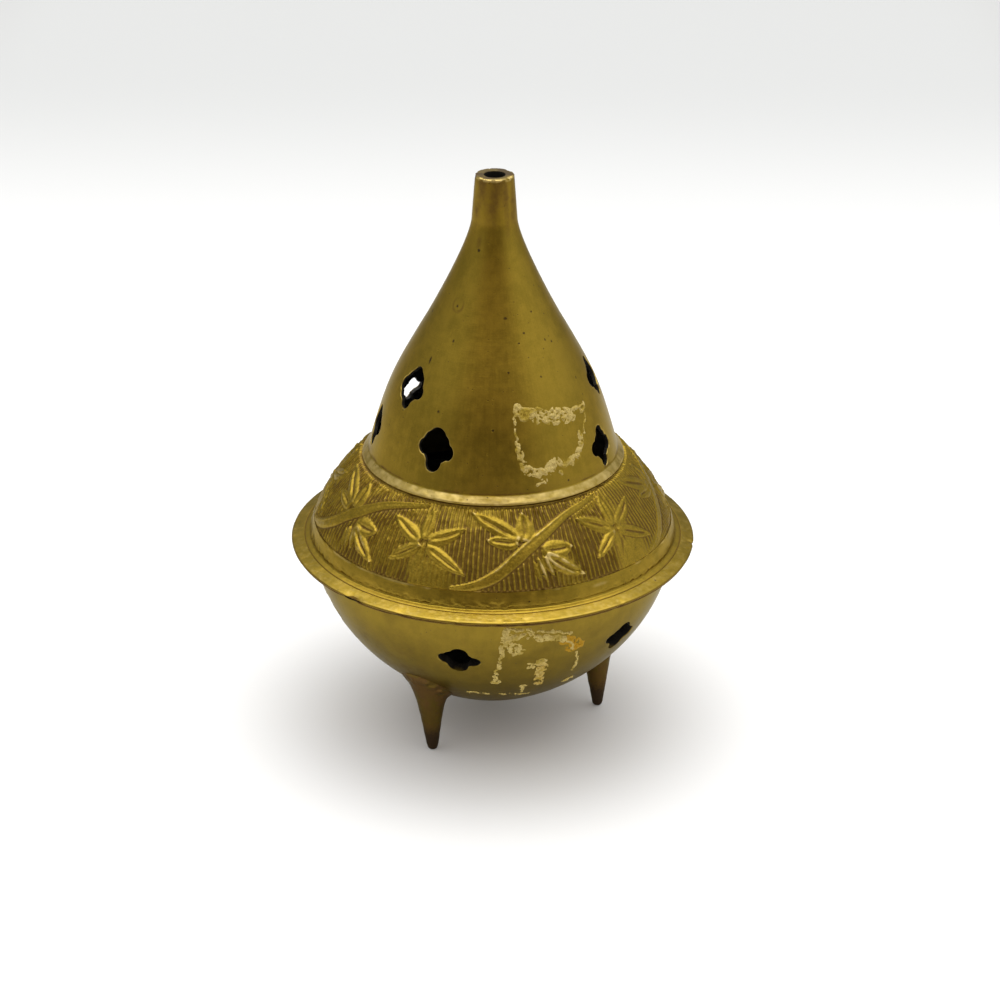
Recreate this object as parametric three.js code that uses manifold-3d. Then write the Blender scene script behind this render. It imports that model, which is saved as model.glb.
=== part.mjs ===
// A tripod incense burner in cast brass: a bowl on three spike legs, and a bell-shaped lid with
// pierced vents and a straight chimney. Millimetres, +Z up, the front towards -Y. The origin is
// on the ground, on the axis that the bowl and the lid are turned on.

import * as THREE from 'three';
import { mergeVertices } from 'three/addons/utils/BufferGeometryUtils.js';
import Module from 'manifold-3d';

// Heights that stack from the ground to the top of the chimney
const groundClearance = 5.8;
const bowlDepth = 31;
const shoulderRise = 18.5;
const bellRise = 25.7;
const neckRise = 17.85;
const chimneyRise = 9;

// Walls of the two castings
const lidWall = 1.5;
const bowlWall = 1.7;
const bowlFloor = 2.2;

// Radii of the bell, the neck and the chimney
const bellFootRadius = 23.3;
const waistRadius = 12.25;
const chimneyFootRadius = 4.25;
const chimneyTopRadius = 3.4;
const boreRadius = 1.85;
const mouthChamfer = 0.25;

// The bead and the shoulder under the bell, and the band at the shoulder's foot, which stands
// out past the bowl
const beadWidth = 1.2;
const beadDrop = 1.35;
const grooveDepth = 0.2;
const grooveDrop = 0.4;
const shoulderLedge = 0.5;
const shoulderDrop = 1.95;
const bandReach = 0.5;
const bandRise = 1.85;

// The flange of the lid, which stands out past the bowl, and the cove over it
const flangeReach = 4.1;
const flangeLip = 0.46;
const coveWidth = 0.7;
const coveDrop = 0.65;

// The bowl, its lip, and the collar that keeps the lid central
const bowlRadius = 33.9;
const bowlFootRadius = 9;
const bowlLip = 0.46;
const lipSetback = 0.3;
const lipFillet = 0.6;
const lipRootDrop = 1.05;
const bowlTopDrop = 1.4;
const collarHeight = 2.5;
const collarWall = 1.5;
const seatWall = 1.8;
const collarClearance = 0.3;
const rebateClearance = 0.4;

// The legs, brazed on under the bowl
const footCircleRadius = 20.7;
const footFlatRadius = 0.6;
const footRadius = 0.95;
const footRound = 0.5;
const legRootRadius = 5.1;
const legSplay = 3;
const brazeGap = 0.3;
const legNames = ['leg_front_left', 'leg_right', 'leg_rear'];
const firstLegTurn = -31;

// The pierced vents: size, height over the bead or under the seat, and turn from the front
const lidVentWidth = 7;
const lidVentHeight = 8.3;
const lowerVentRise = 5.2;
const upperVentRise = 15.5;
const lowerVentTurns = [-135, -82, -29, 65, 112, 171];
const upperVentTurns = [-56, 86, 198];
const bowlVentWidth = 7.5;
const bowlVentHeight = 6.9;
const bowlVentDrop = 10.8;
const bowlVentCount = 6;
const firstBowlVentTurn = -11;
const ventLobeShare = 0.45;

// How the curves leave and reach their ends: shares of each curve's run and drop
const coveShares = [0.25, 0.75];
const neckShares = [[0.03, 0.2], [0.94, 0.95]];
const bellShares = [[0.65, 0.49], [0.65, 0.49]];
const shoulderShares = [[0.52, 0.31], [0.9, 0.69]];
const bowlShares = [[0, 0.24], [0.25, 0.73]];
const legShares = [[0.2, 0.34], [0.37, 0.65]];

// Fineness of the surfaces, and how far a cutter runs past what it cuts
const turnSteps = 52;
const legSteps = 16;
const lobeSteps = 6;
const curveSteps = 8;
const innerSteps = 5;
const halvings = 40;
const overrun = 2.5;

// Heights over the ground
const seatHeight = groundClearance + bowlDepth;
const beadHeight = seatHeight + shoulderRise;
const waistHeight = beadHeight + bellRise;
const chimneyFootHeight = waistHeight + neckRise;
const topHeight = chimneyFootHeight + chimneyRise;
const bowlTopHeight = seatHeight - bowlTopDrop;
const rebateHeight = seatHeight + collarHeight + rebateClearance;

// Radii that follow from the bowl and from the bell
const bandRadius = bowlRadius + bandReach;
const flangeRadius = bowlRadius + flangeReach;
const mouthRadius = bandRadius - seatWall;
const collarRadius = mouthRadius - collarClearance;
const beadRadius = bellFootRadius + beadWidth;

const wasm = await Module();
wasm.setup();

const point = (radius, height) => new THREE.Vector2(radius, height);

// A smooth curve from one point of a profile down to another
function curveBetween(start, end, shares) {
  const controls = shares.map(([run, drop]) => point(
    THREE.MathUtils.lerp(start.x, end.x, run),
    THREE.MathUtils.lerp(start.y, end.y, drop),
  ));
  return new THREE.CubicBezierCurve(start, ...controls, end);
}

const chimneyFoot = point(chimneyFootRadius, chimneyFootHeight);
const waist = point(waistRadius, waistHeight);
const bellFoot = point(bellFootRadius, beadHeight);
const shoulderTop = point(beadRadius + shoulderLedge, beadHeight - shoulderDrop);
const bandFoot = point(bandRadius, seatHeight + bandRise);
const flangeRoot = point(bandRadius + coveWidth, seatHeight + bandRise - coveDrop);
const bowlTop = point(bowlRadius, bowlTopHeight);
const bowlFoot = point(bowlFootRadius, groundClearance);

const neckCurve = curveBetween(chimneyFoot, waist, neckShares);
const bellCurve = curveBetween(waist, bellFoot, bellShares);
const shoulderCurve = curveBetween(shoulderTop, bandFoot, shoulderShares);
const bowlCurve = curveBetween(bowlTop, bowlFoot, bowlShares);

// The direction square to a falling curve, out of the wall
function outwardAt(curve, share) {
  const along = curve.getTangent(share);
  return point(-along.y, along.x);
}

// Points of a falling curve, moved square to it: out by a positive distance, in by a negative one
function offsetCurve(curve, distance, steps) {
  return Array.from({ length: steps + 1 }, (_, step) => {
    const share = step / steps;
    return curve.getPoint(share).addScaledVector(outwardAt(curve, share), distance);
  });
}

// The share along a falling curve where a rising quantity of its points reaches a value
function shareWhere(curve, quantity, value) {
  let low = 0;
  let high = 1;
  for (let halving = 0; halving < halvings; halving += 1) {
    const middle = (low + high) / 2;
    if (quantity(curve.getPoint(middle)) < value) low = middle;
    else high = middle;
  }
  return (low + high) / 2;
}

// The turns, in degrees from the front, of a number of pieces spaced evenly round the axis
function evenTurns(first, count) {
  const step = THREE.MathUtils.radToDeg(2 * Math.PI) / count;
  return Array.from({ length: count }, (_, index) => first + step * index);
}

// Closed geometry to a solid that can be cut, and back
function solidFrom(geometry) {
  const bare = geometry.clone();
  bare.deleteAttribute('normal');
  bare.deleteAttribute('uv');
  const merged = mergeVertices(bare);
  return new wasm.Manifold(new wasm.Mesh({
    numProp: 3,
    vertProperties: new Float32Array(merged.attributes.position.array),
    triVerts: new Uint32Array(merged.index.array),
  }));
}

function geometryFrom(solid) {
  const mesh = solid.getMesh();
  const geometry = new THREE.BufferGeometry();
  geometry.setAttribute('position', new THREE.BufferAttribute(mesh.vertProperties, 3));
  geometry.setIndex(new THREE.BufferAttribute(mesh.triVerts, 1));
  geometry.computeVertexNormals();
  return geometry;
}

// A profile of radius and height, turned about the upright axis
function turned(profile, steps) {
  return new THREE.LatheGeometry(profile, steps).rotateX(Math.PI / 2);
}

// The lid's own profile: up the outside from the seat, then down the inside
function lidProfile() {
  const under = [point(mouthRadius, seatHeight), point(flangeRadius, seatHeight)];
  const [coveRun, coveFall] = coveShares;
  const cove = point(
    THREE.MathUtils.lerp(bandFoot.x, flangeRoot.x, coveRun),
    THREE.MathUtils.lerp(bandFoot.y, flangeRoot.y, coveFall),
  );
  const flange = [point(flangeRadius, seatHeight + flangeLip), flangeRoot, cove];
  const shoulder = shoulderCurve.getPoints(curveSteps).reverse();
  const bead = [
    point(beadRadius - grooveDepth, beadHeight - beadDrop - grooveDrop),
    point(beadRadius, beadHeight - beadDrop),
  ];
  const bell = bellCurve.getPoints(curveSteps).reverse();
  const neck = neckCurve.getPoints(curveSteps).reverse().slice(1);
  const mouth = [
    point(chimneyTopRadius, topHeight - mouthChamfer),
    point(chimneyTopRadius - mouthChamfer, topHeight),
    point(boreRadius + mouthChamfer, topHeight),
    point(boreRadius, topHeight - mouthChamfer),
  ];
  const hollow = [
    ...offsetCurve(neckCurve, -lidWall, curveSteps),
    ...offsetCurve(bellCurve, -lidWall, innerSteps).slice(1),
    ...offsetCurve(shoulderCurve, -lidWall, innerSteps),
  ];
  const open = hollow.filter((place) => place.x > boreRadius && place.y > rebateHeight);
  const bore = [point(boreRadius, open[0].y)];
  const last = open[open.length - 1];
  const rebate = [point(last.x, rebateHeight), point(mouthRadius, rebateHeight)];
  return [...under, ...flange, ...shoulder, ...bead, ...bell, ...neck, ...mouth, ...bore,
    ...open, ...rebate, under[0]];
}

// The bowl's profile: out along the underside, up to the lip and the collar, then down inside
function bowlProfile() {
  const outside = [point(0, groundClearance), ...bowlCurve.getPoints(curveSteps).reverse()];
  const lip = [
    point(bowlRadius + lipFillet, seatHeight - lipRootDrop),
    point(flangeRadius - lipSetback, seatHeight - bowlLip),
    point(flangeRadius - lipSetback, seatHeight),
    point(collarRadius, seatHeight),
    point(collarRadius, seatHeight + collarHeight),
    point(collarRadius - collarWall, seatHeight + collarHeight),
  ];
  const floorHeight = groundClearance + bowlFloor;
  const inside = offsetCurve(bowlCurve, -bowlWall, curveSteps)
    .filter((place) => place.y > floorHeight);
  const collarInside = point(collarRadius - collarWall, seatHeight);
  const last = inside[inside.length - 1];
  const floor = [point(last.x - bowlWall, floorHeight), point(0, floorHeight)];
  return [...outside, ...lip, collarInside, ...inside, ...floor];
}

// The outline of a vent: four round lobes that meet in cusps, drawn wide and then scaled
function ventShape(width, height) {
  const lobe = ventLobeShare;
  const reach = 1 - lobe;
  const cusp = (reach + Math.sqrt(2 * lobe ** 2 - reach ** 2)) / 2;
  const sweep = Math.atan2(cusp, cusp - reach);
  const quarters = [0, 1, 2, 3];
  const outline = quarters.flatMap((quarter) => Array.from({ length: lobeSteps }, (_, step) => {
    const turn = THREE.MathUtils.lerp(-sweep, sweep, step / lobeSteps);
    const place = point(reach + lobe * Math.cos(turn), lobe * Math.sin(turn));
    place.rotateAround(point(0, 0), quarter * Math.PI / 2);
    return point(place.x * width / 2, place.y * height / 2);
  }));
  return new THREE.Shape(outline);
}

// A cutter through the wall, square to it, at a height of its curve and a turn from the front
function ventCutter(curve, height, turn, width, tall, wall) {
  const share = shareWhere(curve, (place) => -place.y, -height);
  const place = curve.getPoint(share);
  const outward = outwardAt(curve, share);
  const angle = THREE.MathUtils.degToRad(turn);
  const radial = new THREE.Vector3(Math.sin(angle), -Math.cos(angle), 0);
  const across = new THREE.Vector3(Math.cos(angle), Math.sin(angle), 0);
  const square = radial.clone().multiplyScalar(outward.x).setZ(outward.y);
  const up = new THREE.Vector3().crossVectors(square, across);
  const base = radial.clone().multiplyScalar(place.x).setZ(place.y)
    .addScaledVector(square, -wall - overrun);
  const cutter = new THREE.ExtrudeGeometry(ventShape(width, tall), {
    depth: wall + 2 * overrun,
    bevelEnabled: false,
  });
  cutter.applyMatrix4(new THREE.Matrix4().makeBasis(across, up, square).setPosition(base));
  return solidFrom(cutter);
}

function pierced(shell, cutters) {
  return cutters.reduce((solid, cutter) => solid.subtract(cutter), shell);
}

function lidGeometry() {
  const rows = [
    [lowerVentRise, lowerVentTurns],
    [upperVentRise, upperVentTurns],
  ];
  const cutters = rows.flatMap(([rise, turns]) => turns.map((turn) => ventCutter(
    bellCurve, beadHeight + rise, turn, lidVentWidth, lidVentHeight, lidWall,
  )));
  return geometryFrom(pierced(solidFrom(turned(lidProfile(), turnSteps)), cutters));
}

function bowlGeometry() {
  const cutters = evenTurns(firstBowlVentTurn, bowlVentCount).map((turn) => ventCutter(
    bowlCurve, seatHeight - bowlVentDrop, turn, bowlVentWidth, bowlVentHeight, bowlWall,
  ));
  return geometryFrom(pierced(solidFrom(turned(bowlProfile(), turnSteps)), cutters));
}

// A leg's spike leans outwards by a shear, so its foot stays flat on the ground. The bowl's
// outside, grown by the braze gap, shapes its root.
function legGeometry(turn) {
  const rootShare = shareWhere(bowlCurve, (place) => -place.x, -footCircleRadius - legRootRadius);
  const rootHeight = bowlCurve.getPoint(rootShare).y;
  const flare = curveBetween(point(footRadius, footRound), point(legRootRadius, rootHeight), legShares);
  const spike = turned([
    point(0, 0),
    point(footFlatRadius, 0),
    ...flare.getPoints(curveSteps),
    point(0, rootHeight),
  ], legSteps);
  const lean = Math.tan(THREE.MathUtils.degToRad(legSplay));
  spike.applyMatrix4(new THREE.Matrix4().makeShear(0, 0, 0, 0, -lean, 0));
  spike.translate(footCircleRadius, 0, 0);
  spike.rotateZ(THREE.MathUtils.degToRad(turn) - Math.PI / 2);
  const outside = offsetCurve(bowlCurve, brazeGap, curveSteps).reverse();
  const top = outside[outside.length - 1];
  const envelope = turned([
    point(0, outside[0].y),
    ...outside,
    point(0, top.y),
  ], turnSteps);
  return geometryFrom(solidFrom(spike).subtract(solidFrom(envelope)));
}

const polishedBrass = new THREE.MeshStandardMaterial({ color: 0x8f7a2c, metalness: 1, roughness: 0.38 });
const agedBrass = new THREE.MeshStandardMaterial({ color: 0x806a26, metalness: 1, roughness: 0.42 });
const tarnishedBrass = new THREE.MeshStandardMaterial({ color: 0x5a4520, metalness: 1, roughness: 0.55 });

function named(name, geometry, material) {
  const mesh = new THREE.Mesh(geometry, material);
  mesh.name = name;
  return mesh;
}

const burner = new THREE.Group();
burner.add(named('lid', lidGeometry(), polishedBrass));
burner.add(named('bowl', bowlGeometry(), agedBrass));
evenTurns(firstLegTurn, legNames.length).forEach((turn, index) => {
  burner.add(named(legNames[index], legGeometry(turn), tarnishedBrass));
});

export default burner;
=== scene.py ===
"""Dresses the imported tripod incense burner: its cast lid, bowl and legs in aged brass."""

import math

import bpy
import numpy as np
from bpy.props import FloatProperty, FloatVectorProperty, IntProperty, PointerProperty
from mathutils import Matrix, Vector


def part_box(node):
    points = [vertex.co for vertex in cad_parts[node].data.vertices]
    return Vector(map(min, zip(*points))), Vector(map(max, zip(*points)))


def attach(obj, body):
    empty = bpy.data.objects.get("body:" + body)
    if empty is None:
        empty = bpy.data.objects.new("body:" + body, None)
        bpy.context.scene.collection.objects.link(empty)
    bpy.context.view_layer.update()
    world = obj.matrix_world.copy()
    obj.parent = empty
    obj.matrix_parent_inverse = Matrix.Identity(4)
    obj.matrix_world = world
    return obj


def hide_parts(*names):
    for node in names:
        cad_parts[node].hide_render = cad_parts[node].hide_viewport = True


bl_info = {
    "name": "Tripod Incense Burner",
    "version": (1, 0, 0),
    "blender": (4, 5, 0),
    "location": "View3D > Sidebar > Burner",
    "description": "Builds the looks of a cast brass incense burner round its packed model",
    "category": "Add Mesh",
}

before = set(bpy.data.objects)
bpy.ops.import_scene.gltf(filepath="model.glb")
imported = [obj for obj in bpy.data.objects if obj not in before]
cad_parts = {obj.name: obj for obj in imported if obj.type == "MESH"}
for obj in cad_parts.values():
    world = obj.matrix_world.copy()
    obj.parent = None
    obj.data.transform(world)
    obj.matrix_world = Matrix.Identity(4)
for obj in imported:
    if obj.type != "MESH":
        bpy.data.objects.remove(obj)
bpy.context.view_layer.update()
MM = 0.001
FULL_TURN = 2 * math.pi
ground_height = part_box("leg_rear")[0].z
lid_top_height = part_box("lid")[1].z
lid_seat_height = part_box("lid")[0].z
bowl_foot_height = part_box("bowl")[0].z
flange_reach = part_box("lid")[1].x


def length(name, default, description):
    return FloatProperty(
        name=name, description=description, default=default, unit="LENGTH", precision=5, min=0)


def angle(name, degrees, description):
    return FloatProperty(
        name=name, description=description, default=math.radians(degrees), unit="ROTATION")


def colour(name, default, description):
    return FloatVectorProperty(
        name=name, description=description, default=default, subtype="COLOR", size=3, min=0, max=1)


def share(name, default, description):
    return FloatProperty(
        name=name, description=description, default=default, subtype="FACTOR", min=0, max=1)


def count(name, default, description):
    return IntProperty(name=name, description=description, default=default, min=3)


class BellSizes(bpy.types.PropertyGroup):
    """Sizes of the chimney, the neck, the bell and the bead at its foot"""

    top: length("Top", lid_top_height, "Height of the chimney's mouth over the ground")
    bore_radius: length("Bore radius", 1.95 * MM, "Radius of the smoke hole")
    mouth_radius: length("Mouth radius", 3.5 * MM, "Radius of the chimney at its mouth")
    mouth_round: length("Mouth round", 0.16 * MM, "How far the mouth's edges are worn round")
    chimney_height: length("Chimney height", 8.1 * MM, "Height of the straight chimney")
    chimney_radius: length("Chimney radius", 4.13 * MM, "Radius at the chimney's foot")
    neck_drop: length("Neck drop", 18.75 * MM, "Height of the flared neck under the chimney")
    waist_radius: length("Waist radius", 12.25 * MM, "Radius where the neck turns into the bell")
    bell_drop: length("Bell drop", 25.7 * MM, "Height of the bell under the neck")
    foot_radius: length("Foot radius", 23.3 * MM, "Radius of the bell over the bead")
    bead_width: length("Bead width", 1.2 * MM, "How far the bead stands out from the bell")
    bead_drop: length("Bead drop", 1.35 * MM, "Height of the bead's sloping ledge")
    groove_depth: length("Groove depth", 0.3 * MM, "Depth of the dark groove under the bead")
    wall: length("Wall", 1.5 * MM, "Thickness of the lid's wall")
    vent_wall: length("Vent wall", 0.8 * MM, "Thickness of the bell, which shows in its vents")
    columns: count("Columns", 480, "Faces round the bell")


class ShoulderSizes(bpy.types.PropertyGroup):
    """Sizes of the cast shoulder and of the vine and leaves on it"""

    ledge: length("Ledge", 0.5 * MM, "Width of the ledge under the bead")
    drop: length("Drop", 1.95 * MM, "Height from the bell's foot to the shoulder")
    field: length("Field", 15.05 * MM, "Length of the patterned field down the slope")
    repeats: count("Repeats", 5, "How often the vine and leaf pattern comes round")
    ridges: count("Ridges", 43, "Hatched ridges in one repeat of the pattern")
    first_turn: angle("First turn", -24.5, "Turn of the star leaf nearest the front")
    ground_depth: length("Ground depth", 0.24 * MM, "Depth of the ground between the ridges")
    ridge_height: length("Ridge height", 0.36 * MM, "Height of the hatched ridges")
    leaf_height: length("Leaf height", 0.5 * MM, "Height of the leaves over their ground")
    vine_height: length("Vine height", 0.46 * MM, "Height of the vine over its ground")
    vine_width: length("Vine width", 2.3 * MM, "Width of the vine at its middle")


class FlangeSizes(bpy.types.PropertyGroup):
    """Sizes of the plain band, the cove and the flange that rests on the bowl"""

    radius: length("Radius", flange_reach, "Radius of the flange")
    seat: length("Seat", lid_seat_height, "Height of the flange's underside over the ground")
    lip: length("Lip", 0.46 * MM, "Thickness of the flange at its edge")
    band_radius: length("Band radius", 34.4 * MM, "Radius at the foot of the plain band")
    band_rise: length("Band rise", 1.85 * MM, "Height of the band's foot over the seat")
    cove_width: length("Cove width", 0.7 * MM, "Width of the cove under the band")
    cove_drop: length("Cove drop", 0.65 * MM, "Height of the cove under the band")
    mouth_radius: length("Mouth radius", 32.6 * MM, "Radius of the lid's open underside")
    rebate: length("Rebate", 2.9 * MM, "Height of the recess that takes the bowl's collar")
    columns: count("Columns", 720, "Faces round the flange")


class BowlSizes(bpy.types.PropertyGroup):
    """Sizes of the bowl, its lip and its collar"""

    foot: length("Foot", bowl_foot_height, "Height of the bowl's underside over the ground")
    foot_radius: length("Foot radius", 9 * MM, "Radius of the flat under the bowl")
    radius: length("Radius", 33.9 * MM, "Radius of the bowl under its lip")
    top_drop: length("Top drop", 1.4 * MM, "Height from the seat down to the bowl's side")
    lip: length("Lip", 0.46 * MM, "Thickness of the lip at its edge")
    lip_setback: length("Lip setback", 0.3 * MM, "How far the lip stays inside the flange")
    lip_fillet: length("Lip fillet", 0.6 * MM, "Round between the bowl's side and its lip")
    collar_height: length("Collar height", 2.5 * MM, "Height of the collar over the seat")
    collar_radius: length("Collar radius", 32.3 * MM, "Outer radius of the collar")
    collar_wall: length("Collar wall", 1.5 * MM, "Thickness of the collar")
    wall: length("Wall", 1.7 * MM, "Thickness of the bowl's wall")
    floor: length("Floor", 2.2 * MM, "Thickness of the bowl's floor")
    columns: count("Columns", 400, "Faces round the bowl")


class LegSizes(bpy.types.PropertyGroup):
    """Sizes of the spike legs"""

    circle_radius: length("Foot circle", 20.7 * MM, "Radius of the circle that the feet stand on")
    flat_radius: length("Flat", 0.6 * MM, "Radius of the flat under a foot")
    tip_radius: length("Tip radius", 0.95 * MM, "Radius of a leg just over its foot")
    tip_round: length("Tip round", 0.4 * MM, "Height of the rounded tip")
    reach: length("Reach", 19 * MM, "Height that a leg runs up to, inside the bowl's wall")
    taper: share("Taper", 0.16, "Growth of a leg's radius with its height")
    splay: angle("Splay", 3, "How far a leg leans out")
    first_turn: angle("First turn", -31, "Turn of the front left leg")
    sink: length("Sink", 0.7 * MM, "How deep a leg's root runs into the bowl's wall")


class FinishSettings(bpy.types.PropertyGroup):
    """Colours of the brass and of what has settled on it"""

    gold: colour("Gold", (0.40, 0.265, 0.025), "Clean, satin brass")
    olive: colour("Olive", (0.29, 0.197, 0.0155), "Brass under its thin olive patina")
    patina: colour("Patina", (0.10, 0.066, 0.004), "Dark olive film on the bowl")
    # Pale also paints highlights: on the bead's ledge, the shoulder's crests, the vent rims and the
    # band's foot.
    pale: colour("Pale", (0.72, 0.545, 0.19), "Bare brass on worn edges")
    # Brown also paints shade: in grooves, creases and nicks, on the flange's and the lip's outer
    # edges, under the lip and towards the chimney's top.
    brown: colour("Brown", (0.12, 0.06, 0.013), "Tarnish in recesses and near the legs")
    dark: colour("Dark", (0.035, 0.02, 0.01), "Pits and notches")
    soot: colour("Soot", (0.012, 0.010, 0.008), "Soot on the inside walls")
    cream: colour("Cream", (0.66, 0.51, 0.17), "Dry adhesive crust")
    straw: colour("Straw", (0.43, 0.30, 0.03), "Yellowed adhesive crust")
    amber: colour("Amber", (0.55, 0.3, 0.005), "Thick drops of adhesive")
    fresh: colour("Fresh", (1.0, 0.78, 0.2), "Adhesive crust that has not dried right through")
    glint: colour("Glint", (0.6, 0.58, 0.48), "Tint of the brass at a grazing angle")
    shine: share("Shine", 0.34, "Roughness of the turned brass")
    film: share("Film", 0.19, "Strength of the clear, greasy film on the brass")
    film_shine: share("Film shine", 0.3, "Roughness of the film")


class StudioSettings(bpy.types.PropertyGroup):
    """The camera and the soft light of the studio"""

    distance: length("Distance", 509.13 * MM, "From the camera to the point it looks at")
    elevation: angle("Elevation", 25.02, "How far the camera looks down")
    roll: angle("Roll", 0.398, "How far the camera is turned about its view")
    aim: FloatVectorProperty(
        name="Aim", description="The point that the camera looks at",
        default=(1.346 * MM, 0, 43.654 * MM), subtype="TRANSLATION", unit="LENGTH")
    lens: FloatProperty(
        name="Lens", description="Focal length in millimetres", default=97.2, unit="CAMERA")
    floor_reach: length("Floor reach", 3.0, "From the object to the edge of the floor")
    paper: colour("Paper", (0.76, 0.76, 0.755), "The pale floor round the object")
    far_paper: colour("Far paper", (0.68, 0.69, 0.685), "The floor behind the object")
    # The table colour is painted shade that the brass reflects.
    table: colour("Table", (0.3, 0.24, 0.19), "The brown floor at the sides and in front")
    glow: share("Glow", 0.285, "How much brighter the paper looks away from the object's foot")
    side_light: share("Side light", 0.3, "Strength of the light from all round")
    high_light: share("High light", 0.25, "How much stronger it is from higher up")
    right_light: share("Right light", 0.28, "How much stronger it is from the right")
    front_shade: share("Front shade", 0.23, "How much weaker it is from behind the camera")
    front_tint: colour("Front tint", (1, 0.82, 0.7), "Tint of the light from behind the camera")
    top_light: FloatProperty(
        name="Top light", description="How much stronger it is straight overhead", default=1.5)
    key_power: FloatProperty(
        name="Key power", description="Power of the round lamp overhead", default=0.7, unit="POWER")
    key_size: length("Key size", 0.5, "Width of the round lamp")
    key_place: FloatVectorProperty(
        name="Key place", description="Where the round lamp hangs",
        default=(0.0, 0.13, 0.75), subtype="TRANSLATION", unit="LENGTH")


# Numbers that vary smoothly over a surface

NOISE_CELLS = 32


def noise(points, size, seed):
    """Smooth random values from -1 to 1 at points, with blobs of about the given size."""
    cell = np.asarray(points) / size
    low = np.floor(cell).astype(int)
    part = cell - low
    ease = part * part * (3 - 2 * part)
    lattice = np.random.default_rng(seed).uniform(-1, 1, [NOISE_CELLS] * 3)
    total = np.zeros(cell.shape[:-1])
    for corner in np.ndindex(2, 2, 2):
        weight = np.prod(np.where(np.array(corner) == 1, ease, 1 - ease), axis=-1)
        x, y, z = np.moveaxis((low + corner) % NOISE_CELLS, -1, 0)
        total += weight * lattice[x, y, z]
    return total


def layered_noise(points, size, seed, layers=3):
    """Noise in layers, each half as large and half as strong as the one before."""
    levels = range(layers)
    return sum(noise(points, size / 2 ** level, seed + level) / 2 ** level for level in levels)


def smooth(low, high, value):
    """0 below low, 1 above high, and an even rise between them."""
    part = np.clip((value - low) / (high - low), 0, 1)
    return part * part * (3 - 2 * part)


def bump(distance, width):
    """1 at no distance, falling to 0 over a few widths."""
    return np.exp(-(distance / width) ** 2)


# Profiles of radius and height: they run up the inside and down the outside

def cubic(t, start, first, second, end):
    """Points of a smooth curve that leaves towards one control and comes in from another."""
    return ((1 - t) ** 3 * start + 3 * (1 - t) ** 2 * t * first
            + 3 * (1 - t) * t ** 2 * second + t ** 3 * end)


def curve_between(start, end, shares, steps):
    """A smooth curve whose two controls stand at shares of its run and of its drop."""
    start, end = np.array(start), np.array(end)
    first, second = (start + (end - start) * np.array(control) for control in shares)
    return cubic(np.linspace(0, 1, steps + 1)[:, None], start, first, second, end)


def lengths_along(points):
    steps = np.hypot(*np.diff(points, axis=0).T)
    return np.concatenate([[0], np.cumsum(steps)])


def outward(points):
    """The directions square to a profile, out of the metal."""
    slope = np.gradient(points, lengths_along(points), axis=0)
    slope /= np.hypot(*slope.T)[:, None]
    return np.stack([-slope[:, 1], slope[:, 0]], axis=1)


def moved_out(points, distance):
    return points + outward(points) * distance


def at_lengths(points, places):
    """The points of a profile at the given lengths along it."""
    along = lengths_along(points)
    return np.stack([np.interp(places, along, column) for column in points.T], axis=1)


def stretch(points, start, end):
    """The part of a profile between two lengths along it."""
    along = lengths_along(points)
    between = along[(along > start) & (along < end)]
    return at_lengths(points, np.concatenate([[start], between, [end]]))


MOST_OF_SIDE = 0.45
SAME_PLACE = 0.02 * MM


def softened(points, cut, steps=4):
    """A profile with its corners rounded, each over the given length of its two sides."""
    points = joined(np.array(points, float))
    made = [points[:1]]
    for before, corner, after in zip(points, points[1:], points[2:]):
        arms = before - corner, after - corner
        reaches = [min(cut, MOST_OF_SIDE * np.hypot(*arm)) / np.hypot(*arm) for arm in arms]
        start, end = (corner + arm * reach for arm, reach in zip(arms, reaches))
        t = np.linspace(0, 1, steps + 1)[:, None]
        made.append((1 - t) ** 2 * start + 2 * (1 - t) * t * corner + t ** 2 * end)
    return np.concatenate(made + [points[-1:]])


def spaced(points, spacing):
    """A profile with its points set evenly, at about the given spacing."""
    total = lengths_along(points)[-1]
    steps = max(int(round(total / spacing)), 1)
    return at_lengths(points, np.linspace(0, total, steps + 1))


def joined(*parts):
    """Profiles one after another, without doubled points."""
    points = np.concatenate(parts)
    keep = np.concatenate([[True], np.hypot(*np.diff(points, axis=0).T) > SAME_PLACE])
    return points[keep]


# Outside curves that the lid and the bowl are turned to

NECK_SHARES = ((0.035, 0.24), (0.94, 0.95))
BELL_SHARES = ((0.65, 0.49), (0.65, 0.49))
SHOULDER_SHARES = ((0.52, 0.31), (0.9, 0.69))
BOWL_SHARES = ((0, 0.24), (0.25, 0.73))
CURVE_STEPS = 200


def neck_curve(bell):
    foot = bell.top - bell.chimney_height
    return curve_between(
        (bell.chimney_radius, foot), (bell.waist_radius, foot - bell.neck_drop),
        NECK_SHARES, CURVE_STEPS)


def bell_foot_height(bell):
    return bell.top - bell.chimney_height - bell.neck_drop - bell.bell_drop


def bell_curve(bell):
    foot = bell_foot_height(bell)
    return curve_between(
        (bell.waist_radius, foot + bell.bell_drop), (bell.foot_radius, foot),
        BELL_SHARES, CURVE_STEPS)


def shoulder_curve(bell, shoulder, flange):
    top = (bell.foot_radius + bell.bead_width + shoulder.ledge,
           bell_foot_height(bell) - shoulder.drop)
    foot = (flange.band_radius, flange.seat + flange.band_rise)
    return curve_between(top, foot, SHOULDER_SHARES, CURVE_STEPS)


def bowl_curve(bowl, flange):
    return curve_between(
        (bowl.radius, flange.seat - bowl.top_drop), (bowl.foot_radius, bowl.foot),
        BOWL_SHARES, CURVE_STEPS)


# Meshes

def grid_turns(columns):
    return np.linspace(0, FULL_TURN, columns, endpoint=False)


def place_at(radii, turns, heights):
    """Points at a radius, a turn from the front and a height."""
    return np.stack(np.broadcast_arrays(
        radii * np.sin(turns), -radii * np.cos(turns), heights), axis=-1)


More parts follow.
